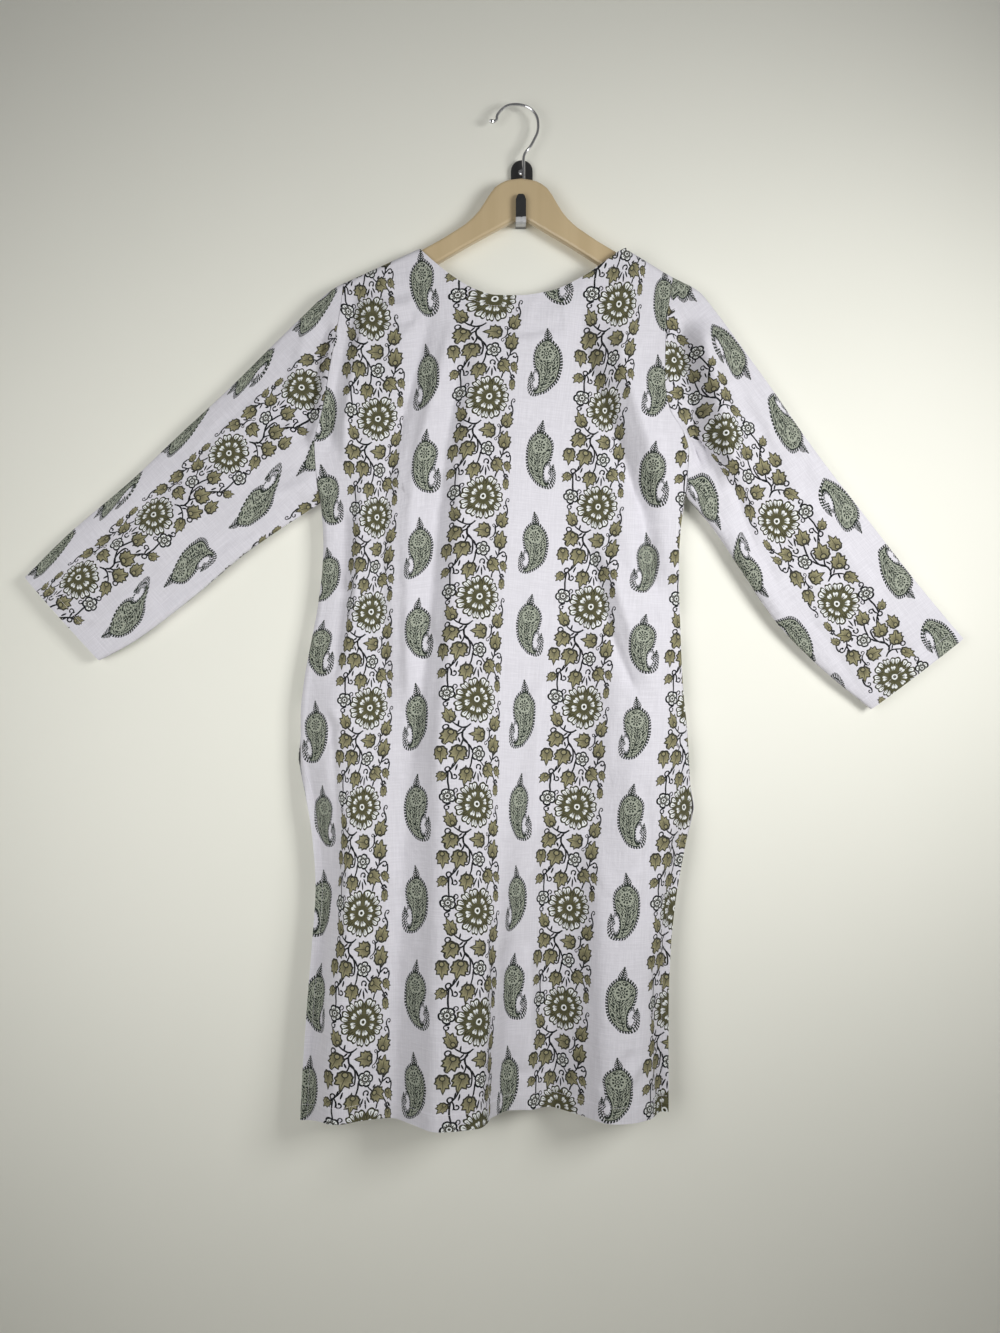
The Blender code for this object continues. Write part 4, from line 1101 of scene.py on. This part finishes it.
def paisley_layer(net, place, under):
    """A paisley round (0, 0) of place, tail to the left, over the colour under."""
    x, y = net.xy(place)
    turn = net.turn(x, -y) + 0.5
    radius = net.curve([(a / 360 + 0.5, r / PAISLEY_RADIUS) for a, r in PAISLEY_BODY], turn)
    body = net.length(place) - radius * PAISLEY_RADIUS
    shares, round_length = outline_share(PAISLEY_BODY)
    hair = net.wave(net.curve(shares, turn), round(round_length / HAIR["spacing"]))
    # The hollow between the body and its tail, fringed inside.
    local = net.placed(place, HOLLOW["centre"], HOLLOW["lean"], HOLLOW["half"])
    into_hollow = (1.0 - net.length(local)) * HOLLOW["half"][0]
    hollow_x, hollow_y = net.xy(local)
    hollow_hair = net.wave(net.turn(hollow_y, hollow_x), HOLLOW["hairs"])
    shape = body | into_hollow
    marks = [(hair < HAIR["part"]) * (body < HAIR["length"]) * (into_hollow < 0.0),
             (hollow_hair < HAIR["part"]) * into_hollow.near(*HOLLOW["fringe"])]
    for centre, lean, half in SPRAYS:
        aside, height = net.xy(net.placed(place, centre, lean, (1.0, 1.0)))
        aside = abs(aside)
        share = height * (0.5 / half[1]) + 0.5
        blades = net.wave(aside * BLADE["slope"] + height, 1 / BLADE["pitch"]) < BLADE["part"]
        marks.append((blades | (aside < BLADE["stem"])) * share.near(0.5, 0.5)
                     * (aside < net.curve(SPRAY_WIDTHS, share) * half[0]))
    colour = net.mix(net.most(marks), under, PAISLEY_LINE)
    dark = paisley_inside(net, place) * (shape < PAISLEY_EDGE["ink_from"])
    dark = dark | shape.near(*PAISLEY_EDGE["line"])
    fill = net.mix(dark, PAISLEY_GROUND, PAISLEY_LINE)
    hook = (x < HOOK["edge"]) * (y > 0.0) * (into_hollow > -HOOK["reach"])
    stem = (shape < HOOK["stem"]) | (hair < HOOK["hair"])
    fill = net.mix(hook, fill, net.mix(stem, under, PAISLEY_LINE))
    return net.mix(shape < PAISLEY_EDGE["end"], colour, fill)


def print_group():
    """Node group with the printed colour of the cloth, from its two UV maps."""
    tree = bpy.data.node_groups.new("cloth_print", "ShaderNodeTree")
    tree.interface.new_socket("Color", in_out="OUTPUT", socket_type="NodeSocketColor")
    net = Net(tree)
    stripe_uv = net.node("UVMap", uv_map="stripe_mm")
    paisley_uv = net.node("UVMap", uv_map="paisley_mm")
    waver = net.noise(stripe_uv, HAND_SCALE, detail=1.0, out="Color")
    waver = net.node("VectorMath", [(0, waver), (1, (HAND_PRINT, HAND_PRINT, 0)),
                                    (2, (-0.5 * HAND_PRINT, -0.5 * HAND_PRINT, 0))],
                     operation="MULTIPLY_ADD")
    slubs = [net.noise(net.placed(stripe_uv, (0, 0), 0.0, scale), 1.0, detail=3.0)
             for scale in SLUBS]
    streaks = (slubs[0] + slubs[1]) * SLUB_CONTRAST[0] + SLUB_CONTRAST[1]
    cotton = net.mix(streaks, COTTON, COTTON_SHADE)
    # The flower stripe: the big flower is drawn over the join of its repeats.
    u, v = net.xy(net.moved(stripe_uv, waver))
    half, half_pitch = 0.5 * STRIPE_REPEAT, 0.5 * FLOWER_PITCH
    across = net.m("WRAP", u, half, -half)
    place = net.vector(across, net.m("WRAP", v, FLOWER_PITCH + TILE_DOWN[0], TILE_DOWN[0]))
    colour = vine_layer(net, place, cotton)
    colour = leaf_layer(net, place, colour)
    colour = bloom_layer(net, place, colour)
    place = net.vector(across, net.m("WRAP", v, half_pitch, -half_pitch))
    colour = big_flower_layer(net, place, colour)
    # The paisley stripe: every other row is the mirror image of the one before.
    u, v = net.xy(net.moved(paisley_uv, waver))
    v = v - PAISLEY_DROP
    half_pitch = 0.5 * PAISLEY_PITCH
    row = net.m("FLOOR", v / PAISLEY_PITCH + 0.5)
    mirror = net.m("FRACT", row * 0.5) * 4.0 - 1.0
    across = net.m("WRAP", u - half, half, -half) * mirror
    place = net.vector(across, net.m("WRAP", v, half_pitch, -half_pitch))
    colour = paisley_layer(net, place, colour)
    # The cloth's own threads break up the printed colour a little.
    colour = net.mix(streaks * SLUBS_IN_PRINT, colour, cotton)
    net.put(tree.nodes.new("NodeGroupOutput").inputs[0], colour)
    return tree


# ---------------------------------------------------------------- materials
def new_material(name, **inputs):
    """A material, its Net and its shader, with some of the shader's inputs set."""
    material = bpy.data.materials.new(name)
    material.use_nodes = True
    net = Net(material.node_tree)
    shader = net.tree.nodes["Principled BSDF"]
    for key, value in inputs.items():
        net.put(shader.inputs[key.replace("_", " ")], value)
    return material, net, shader


def cotton_material(name, show_through):
    """Printed cotton; show_through is how much of the print reaches this face."""
    material, net, shader = new_material(
        name, Roughness=0.92, Specular_IOR_Level=0.12, Sheen_Weight=0.05, Sheen_Roughness=0.5)
    printed = net.tree.nodes.new("ShaderNodeGroup")
    printed.node_tree = print_tree
    colour = printed.outputs[0]
    if show_through < 1:
        colour = net.mix(show_through, COTTON_SHADE, colour)
    net.put(shader.inputs["Base Color"], colour)
    weave_uv = net.node("UVMap", uv_map="stripe_mm")
    threads, picks = (net.noise(net.placed(weave_uv, (0, 0), 0.0, size), 1.0)
                      for size in THREAD_SIZES)
    puckers = net.noise(weave_uv, PUCKER["scale"], detail=4.0, roughness=PUCKER["roughness"])
    height = puckers * PUCKER["height"] + (threads + picks) * THREAD_HEIGHT
    net.put(shader.inputs["Normal"], net.bump(0.55, 1.0, height))
    return material


def plain_material(name, colour, roughness, metallic, mottle, bump=None):
    """A finish mottled by (scale, other colour), with optional bump (scale, mm)."""
    material, net, shader = new_material(name, Roughness=roughness, Metallic=metallic)
    place = net.node("TexCoord", out="Object")
    scale, other = mottle
    spots = net.noise(place, scale, detail=5.0, dimensions="3D")
    spots = net.node("MapRange", [("Value", spots), ("From Min", 0.35), ("From Max", 0.68)])
    net.put(shader.inputs["Base Color"], net.mix(spots, colour, other))
    if bump:
        scale, depth = bump
        height = net.noise(place, scale, detail=4.0, dimensions="3D")
        net.put(shader.inputs["Normal"], net.bump(0.6, depth, height))
    return material


def hanger_material():
    """Satin tan finish with faint long grain."""
    material, net, shader = new_material("hanger_finish", Roughness=0.38, Coat_Weight=0.25,
                                         Coat_Roughness=0.2)
    place = net.placed(net.node("TexCoord", out="Object"), (0, 0), GRAIN_LEAN, GRAIN_SIZE)
    grain = net.noise(place, 1.0, detail=5.0, dimensions="3D")
    net.put(shader.inputs["Base Color"], net.mix(grain, TAN, TAN_SHADE))
    net.put(shader.inputs["Normal"], net.bump(0.25, 0.1, grain))
    return material


def hook_material():
    """Black enamel, with a painted highlight: light grey painted on the outer part of the arm.
    """
    material, net, shader = new_material("hook_enamel", Roughness=0.36)
    place = net.node("TexCoord", out="Object")
    y, z = net.parts(place)[1:]
    spots = net.noise(place, 240.0, detail=4.0, dimensions="3D")
    ragged = spots * (PAINTED_HIGHLIGHT["ragged"] * MM) + z
    # painted highlight: the arm's outer part turns from black to light grey, as if catching the
    # light
    painted_highlight = (y < -PAINTED_HIGHLIGHT["beyond"] * MM) * (ragged < PAINTED_HIGHLIGHT["below"] * MM)
    enamel, highlight_grey = net.mix(spots, *ENAMEL), net.mix(spots, *HIGHLIGHT_GREYS)
    net.put(shader.inputs["Base Color"], net.mix(painted_highlight, enamel, highlight_grey))
    net.put(shader.inputs["Normal"], net.bump(0.4, 0.05, spots))
    return material


THREAD_SIZES = ((0.35, 3.5), (4.5, 0.35))   # mm across and down, of warp and of weft
THREAD_HEIGHT = 0.055
PUCKER = {"scale": 0.055, "roughness": 0.62, "height": 2.2}
TAN, TAN_SHADE = srgb(200, 180, 143), srgb(177, 156, 119)
GRAIN_LEAN, GRAIN_SIZE = 0.4, (0.10, 0.008)
ENAMEL = (srgb(50, 50, 50), srgb(38, 38, 38))
# light greys of the painted highlight on the hook's arm
HIGHLIGHT_GREYS = (srgb(206, 206, 206), srgb(140, 140, 142))
# Painted highlight: light grey painted over the black further out from the wall than this,
# below this height, with a ragged edge (mm).
PAINTED_HIGHLIGHT = {"beyond": 10.0, "below": -41.0, "ragged": 4.0}
print_tree = print_group()
cotton_print = cotton_material("cotton_print", 1.0)
cotton_inside = cotton_material("cotton_inside", 0.42)
thread = plain_material("thread", srgb(232, 228, 236), 0.8, 0.0, (900.0, srgb(214, 210, 216)))
chrome = plain_material("chrome", (0.74, 0.74, 0.75, 1), 0.12, 1.0,
                        (70.0, (0.60, 0.60, 0.62, 1)))
steel = plain_material("screw_steel", (0.82, 0.82, 0.83, 1), 0.22, 1.0,
                       (300.0, (0.62, 0.62, 0.64, 1)), bump=(700.0, 0.03))


# ---------------------------------------------------------------- body panels
front = Panel(FRONT_FOLDS, HANGER_DEPTH + 0.5 * SEAM_GAP, SLIT_BLEND)
back = Panel(BACK_FOLDS, HANGER_DEPTH - 0.5 * SEAM_GAP, BACK_SLIT_BLEND, BACK_NECK_DROP,
             BACK_HEM_RISE, BACK_FLARE)


# How many stations lie in a side's turn, in the shoulder's turn and in the hem's band; how
# far, in parts of the length, they stay before, beside and after the band's upper edge.
SIDE_STATIONS, SHOULDER_STATIONS, BAND_STATIONS = 8, 7, 7
BAND_GAPS = (0.002, 0.0006, 0.003)


def fine_stations(panel, columns, rows):
    """Stations across and down, denser in the side and shoulder turns and at the hem."""
    inner = TURN_PART, 1 - TURN_PART
    turn = TURN_PART * np.linspace(0, 1, SIDE_STATIONS)
    steps = np.linspace(0.05, 0.95, 4001)
    x = panel.point(steps, np.zeros_like(steps))[:, 0]
    left, right = NECKLINE[0][0], NECKLINE[-1][0]
    neck = [np.interp(place, x, steps)
            for place in (left, left + NECK_ROLL, right - NECK_ROLL, right)]
    across = np.concatenate([turn, np.linspace(*inner, columns)[1:-1], 1 - turn, neck])
    band = 1 - HEM_BAND / PANEL_LENGTH
    before, beside, after = BAND_GAPS
    down = np.concatenate([panel.turn_down * np.linspace(0, 1, SHOULDER_STATIONS),
                           np.linspace(panel.turn_down, band - before, rows)[1:],
                           [band - beside, band, band + beside],
                           np.linspace(band + after, 1, BAND_STATIONS)])
    return np.unique(np.round(across, 6)), down


def raised_band(reach_from_edge, height):
    """1 within a turned-up band of this height, falling to 0 past its stitching."""
    return 1 - rise(height - BAND_SLOPE[0], height + BAND_SLOPE[1], reach_from_edge)


def reach_from_end(grid):
    """Distance along each column from the grid's last row."""
    return arc_length(grid[::-1], 0)[::-1]


def panel_surface(panel, name, gain, way, columns, rows):
    """A panel's grid with its creases and turned-up bands, and its normals."""
    across, down = fine_stations(panel, columns, rows)
    grid = panel.point(*np.meshgrid(across, down))
    normal = grid_normals(grid, way=way)
    depth = gain * crease_height(grid, CREASES[name]) + crumple(grid, *CRUMPLED[name])
    edge = arc_length(grid, 1)
    sides = rise(*STILL_SIDES, np.minimum(edge, edge[:, -1:] - edge))
    depth = depth * rise(0, STILL_TOP, arc_length(grid, 0))
    depth = depth * (SIDE_CREASES + (1 - SIDE_CREASES) * sides)
    grid = grid + normal * depth[..., None]
    x, left, right = grid[..., 0], NECKLINE[0][0], NECKLINE[-1][0]
    at_neck = rise(left, left + NECK_END, x) * (1 - rise(right - NECK_END, right, x))
    band = raised_band(reach_from_end(grid), HEM_BAND) * HEM_STEP
    band = band + raised_band(arc_length(grid, 0), NECK_BAND) * NECK_STEP * at_neck
    grid = grid + normal * band[..., None]
    return grid, grid_normals(grid, way=way)


# Each panel: gain of its creases, the way it faces (-1 is the viewer), columns and rows.
near_grid, near_normal = panel_surface(front, "front", CREASE_GAIN, -1.0, 138, 236)
far_grid, far_normal = panel_surface(back, "back", 1.0, 1.0, 120, 220)
near_panel = shell("kurta_front", near_grid, near_normal, near_panel_maps(near_grid))
far_panel = shell("kurta_back", far_grid, far_normal, far_panel_maps(far_grid))


# ---------------------------------------------------------------- sleeves
def sleeve_surface(side, sections, around):
    """A sleeve's grid: from the underarm seam over the far side, then the near side."""
    edge, outward = (0.0, -1.0) if side == "left" else (1.0, 1.0)
    near = 0.5 * (1 - np.cos(np.linspace(0, math.pi, around)))
    place = np.concatenate([near[::-1][:-1], near])
    on_near = np.concatenate([np.zeros(around - 1), np.ones(around)])
    near_point = front.point(np.full_like(place, edge), place * front.underarm())
    far_point = back.point(np.full_like(place, edge), place * back.underarm())
    start = np.where(on_near[:, None] > 0.5, near_point, far_point)
    turned_in = front.side_turn(start[:, 2] - SEAM_CLEAR, side)
    start[:, 0] += outward * (SEAM_GAP + 0.5 * CLOTH_WALL * turned_in)
    start[(place < 1e-9) | (place > 1 - 1e-9), 1] = -HANGER_DEPTH
    upper, lower = SLEEVE_OUTLINES[side]["upper"], SLEEVE_OUTLINES[side]["lower"]
    first_line = np.array(upper[0]) + np.subtract(lower[0], upper[0]) * place[:, None]
    round_it = np.sin(np.arccos(np.clip(1 - 2 * place, -1, 1)))
    rows = []
    for fraction in sections:
        top, bottom = along(upper, fraction), along(lower, fraction)
        bow = (start[:, [0, 2]] - first_line) * (1 - rise(0.0, ARMHOLE_FADE, fraction))
        plan = top + (bottom - top) * place[:, None] + bow
        middle, half = (smooth_table([(row[0], row[k]) for row in SLEEVE_SECTIONS], fraction)
                        for k in (1, 2))
        depth = middle + (2 * on_near - 1) * half * round_it ** FLATNESS
        for from_t, from_a, to_t, to_a, drop, width in SLEEVE_HOLLOWS[side]:
            t = np.clip((fraction - from_t) / (to_t - from_t), 0, 1)
            centre = from_a + (to_a - from_a) * t
            fades = HOLLOW_FADES
            strength = rise(from_t + fades[0], from_t + fades[1], fraction)
            strength *= 1 - rise(to_t + fades[2], to_t + fades[3], fraction)
            dip = np.exp(-((place - centre) / width) ** 2) * strength
            depth = depth - drop * on_near * dip * round_it
        blend = rise(0.0, SECTION_BLEND, fraction)
        depth = -start[:, 1] * (1 - blend) + depth * blend
        rows.append(np.stack([plan[:, 0], -depth, plan[:, 1]], axis=-1))
    grid = np.array(rows)
    near_side = slice(around, None)
    normal = grid_normals(grid, near_side)
    shifted = grid + np.array([outward * FAR_SHIFT[0], 0.0, FAR_SHIFT[1]])
    shape, other = (crease_height(at, CREASES[side]) + crumple(at, *CRUMPLED[side])
                    for at in (grid, shifted))
    other = FAR_CREASES * np.clip(other, -FAR_LIMIT, FAR_LIMIT)
    height = (shape * on_near + other * (1 - on_near)) * round_it ** STILL_SEAM
    height = height * rise(0.0, STILL_ARMHOLE, np.asarray(sections))[:, None]
    grid = grid + normal * height[..., None]
    band = raised_band(reach_from_end(grid), CUFF_BAND) * CUFF_STEP
    grid = grid + normal * band[..., None]
    return grid, grid_normals(grid, near_side)


SLEEVE_LENGTH = {"left": 470, "right": 540}
# Stations half way round a sleeve, down it and in its cuff's band; how far, in parts of the
# length, they stay apart from the band's upper edge and beside it.
AROUND, SLEEVE_STATIONS, CUFF_STATIONS = 62, 122, 5
CUFF_GAPS = (0.006, 0.002)


def sleeve_sections(length):
    """Stations from the armhole to the cuff, denser at the cuff's band."""
    cuff = 1 - CUFF_BAND / length
    apart, beside = CUFF_GAPS
    return np.concatenate([np.linspace(0, cuff - apart, SLEEVE_STATIONS),
                           [cuff - beside, cuff, cuff + beside],
                           np.linspace(cuff + apart, 1, CUFF_STATIONS)])


sleeves = {}
for side, length in SLEEVE_LENGTH.items():
    grid, normal = sleeve_surface(side, sleeve_sections(length), AROUND)
    obj = shell("kurta_sleeve_" + side, grid, normal, sleeve_maps(grid, side, AROUND - 1))
    sleeves[side] = (obj, grid, normal)


# ---------------------------------------------------------------- stitching
def sample(values, rows, columns):
    """Values of a grid at fractional rows and columns."""
    i = np.clip(np.floor(rows).astype(int), 0, values.shape[0] - 2)
    j = np.clip(np.floor(columns).astype(int), 0, values.shape[1] - 2)
    s, t = (rows - i)[:, None], (columns - j)[:, None]
    return ((1 - s) * ((1 - t) * values[i, j] + t * values[i, j + 1])
            + s * ((1 - t) * values[i + 1, j] + t * values[i + 1, j + 1]))


# In mm: a stitch's length, the gap after it, its half width and half height, how far its
# middle lies above the cloth, and how far its ends dip.
STITCH = {"length": 2.5, "gap": 0.9, "half": 0.20, "high": 0.28, "lift": 0.02, "dip": 0.06}
STITCH_SECTION = ((-1, 0), (0, 1), (1, 0), (0, -0.6))
SLIT_STITCH = 8.0           # from the edge
SLIT_STITCH_OVER = 6.0      # the slits' stitching starts this far above them
NECK_STITCH_END = 3.0       # the neck's ends this far from the shoulder seams


def stitch_row(path, normal):
    """Corners and faces of a run of small thread stitches along a path."""
    reach = np.concatenate([[0], np.cumsum(np.linalg.norm(np.diff(path, axis=0), axis=1))])
    pitch = STITCH["length"] + STITCH["gap"]
    starts = np.arange(1.0, reach[-1] - pitch, pitch)
    ends = starts + STITCH["length"]

    def at(values, places):
        return np.stack([np.interp(places, reach, values[:, k]) for k in range(3)], -1)

    first, last = at(path, starts), at(path, ends)
    up = at(normal, starts)
    up /= np.linalg.norm(up, axis=1, keepdims=True)
    forward = last - first
    forward /= np.linalg.norm(forward, axis=1, keepdims=True)
    side = np.cross(up, forward)
    lift = 0.5 * CLOTH + STITCH["lift"] - STITCH["dip"]
    corners = np.stack([base + side * a * STITCH["half"] + up * (lift + b * STITCH["high"])
                        for base in (first, last) for a, b in STITCH_SECTION], 1)
    one = [(a, (a + 1) % 4, 4 + (a + 1) % 4, 4 + a) for a in range(4)]
    one += [(0, 3, 2, 1), (4, 5, 6, 7)]
    faces = [tuple(8 * k + corner for corner in face)
             for k in range(len(starts)) for face in one]
    return corners.reshape(-1, 3), faces


def stitches(name, runs):
    """One object with every run of stitches of a piece of cloth."""
    vertices, faces = [], []
    for path, normal in runs:
        corners, quads = stitch_row(path, normal)
        base = sum(len(v) for v in vertices)
        vertices.append(corners)
        faces += [tuple(base + corner for corner in face) for face in quads]
    return mesh_object(name, (np.concatenate(vertices) * MM).tolist(), faces, [thread])


def line_inside(grid, normal, distance, from_end=False, keep=None):
    """Path this far in from the first (or last) row, over every column that is kept."""
    rows, columns = grid.shape[:2]
    reach = arc_length(grid[::-1] if from_end else grid, 0)
    at = np.array([np.interp(distance, reach[:, j], np.arange(rows)) for j in range(columns)])
    if from_end:
        at = rows - 1 - at
    j = np.arange(columns, dtype=float)
    path, up = sample(grid, at, j), sample(normal, at, j)
    if keep is None:
        return path, up
    mask = keep(path)
    return path[mask], up[mask]


def in_neck(path):
    """Which points of a path lie between the shoulder seams."""
    return ((path[:, 0] > NECKLINE[0][0] + NECK_STITCH_END)
            & (path[:, 0] < NECKLINE[-1][0] - NECK_STITCH_END))


for_panels = {}
for name, grid, normal in (("kurta_front_stitches", near_grid, near_normal),
                           ("kurta_back_stitches", far_grid, far_normal)):
    runs = [line_inside(grid, normal, HEM_BAND, from_end=True),
            line_inside(grid, normal, NECK_BAND, keep=in_neck)]
    for side, from_end in (("left", False), ("right", True)):
        top = SLIT_TOP[side] + SLIT_STITCH_OVER
        runs.append(line_inside(grid.swapaxes(0, 1), normal.swapaxes(0, 1), SLIT_STITCH,
                                from_end, lambda path: path[:, 2] < top))
    for_panels[name] = stitches(name, runs)
for_sleeves = {}
for side, (obj, grid, normal) in sleeves.items():
    name = "kurta_sleeve_" + side + "_stitches"
    for_sleeves[side] = stitches(name, [line_inside(grid, normal, CUFF_BAND, from_end=True)])


# ---------------------------------------------------------------- hard pieces
for node, material in (("hanger_body", hanger_material()), ("hanger_hook", chrome),
                       ("wall_hook", hook_material()), ("wall_screw", steel)):
    for obj in [o for o in bpy.data.objects if o.type == "MESH" and o.name.startswith(node)]:
        obj.data.materials.clear()
        obj.data.materials.append(material)
        obj.data.shade_smooth()
        obj.data.set_sharp_from_angle(angle=math.radians(HARD_SHARP))


for obj, node in ((near_panel, "front_panel"), (far_panel, "back_panel"),
                  (sleeves["left"][0], "sleeve_left"), (sleeves["right"][0], "sleeve_right")):
    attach(obj, "root")
    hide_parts(node)
for obj in list(for_panels.values()) + list(for_sleeves.values()):
    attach(obj, "root")


# ---------------------------------------------------------------- stage, light, camera
def flat_piece(name, corners, material):
    """A plain surface of the stage."""
    obj = mesh_object(name, corners, [(0, 1, 2, 3)], [material])
    return obj


wall_paint, net, shader = new_material("wall_paint", Roughness=0.85)
stains = net.noise(net.node("TexCoord", out="Object"), 2.6, detail=4.0, dimensions="3D")
net.put(shader.inputs["Base Color"], net.mix(stains, srgb(236, 235, 225), srgb(230, 230, 219)))
# The wall is seen from the front only, so that it never hides the kurta from behind.
behind = net.node("NewGeometry", out="Backfacing")
sides = [(0, behind), (1, shader.outputs[0]), (2, net.node("BsdfTransparent"))]
net.put(net.tree.nodes["Material Output"].inputs["Surface"], net.node("MixShader", sides))
floor_paint = new_material("floor_paint", Base_Color=srgb(206, 204, 198), Roughness=0.8)[0]
WALL_Y, FLOOR_Z, REACH, TOP = 0.0015, -1.62, 4.0, 2.4   # metres
wall_corners = ((-REACH, WALL_Y, FLOOR_Z), (REACH, WALL_Y, FLOOR_Z), (REACH, WALL_Y, TOP),
                (-REACH, WALL_Y, TOP))
wall = flat_piece("plain_wall", wall_corners, wall_paint)
wall.visible_shadow = False         # lets the light behind it reach the kurta's back
floor_corners = ((-REACH, -REACH, FLOOR_Z), (REACH, -REACH, FLOOR_Z), (REACH, REACH, FLOOR_Z),
                 (-REACH, REACH, FLOOR_Z))
flat_piece("plain_floor", floor_corners, floor_paint)

AMBIENT = 0.17                              # strength of the even light all round
LENS, SENSOR = 28.84, 36.0                  # mm
CAMERA_PLACE = (-0.026, -1.28, -0.571)
# Square soft lights: place, aim, size, watts, and the angle filled in degrees.
LIGHTS = {
    "key": ((0.85, -0.9, -0.3), (0.0, 0.0, -0.52), 0.5, 4.75, 110.0),
    "fill": ((-0.7, -1.1, -0.4), (-0.1, 0.0, -0.5), 0.8, 1.6, 100.0),
    "low_fill": ((-0.7, -1.1, -0.8), (-0.1, 0.0, -0.65), 0.8, 1.75, 110.0),
    "behind": ((0.5, 1.9, 0.3), (0.0, 0.0, -0.6), 1.8, 20.0, 180.0),
}
for name, (position, aim, size, watts, spread) in LIGHTS.items():
    data = bpy.data.lights.new(name, "AREA")
    data.shape = "SQUARE"
    data.size = size
    data.energy = watts
    data.spread = math.radians(spread)
    light = linked(name, data)
    light.location = position
    direction = Vector(aim) - Vector(position)
    light.rotation_euler = direction.to_track_quat("-Z", "Y").to_euler()
    light.visible_camera = False
world = bpy.data.worlds.new("studio")
scene.world = world
world.use_nodes = True
background = world.node_tree.nodes["Background"].inputs
background["Color"].default_value = (1.0, 1.0, 1.0, 1)
background["Strength"].default_value = AMBIENT

camera_data = bpy.data.cameras.new("camera")
camera_data.sensor_width = SENSOR
camera_data.lens = LENS
camera = linked("camera", camera_data)
camera.location = CAMERA_PLACE
camera.rotation_euler = (math.radians(90), 0, 0)
scene.camera = camera
scene.view_settings.view_transform = "Standard"
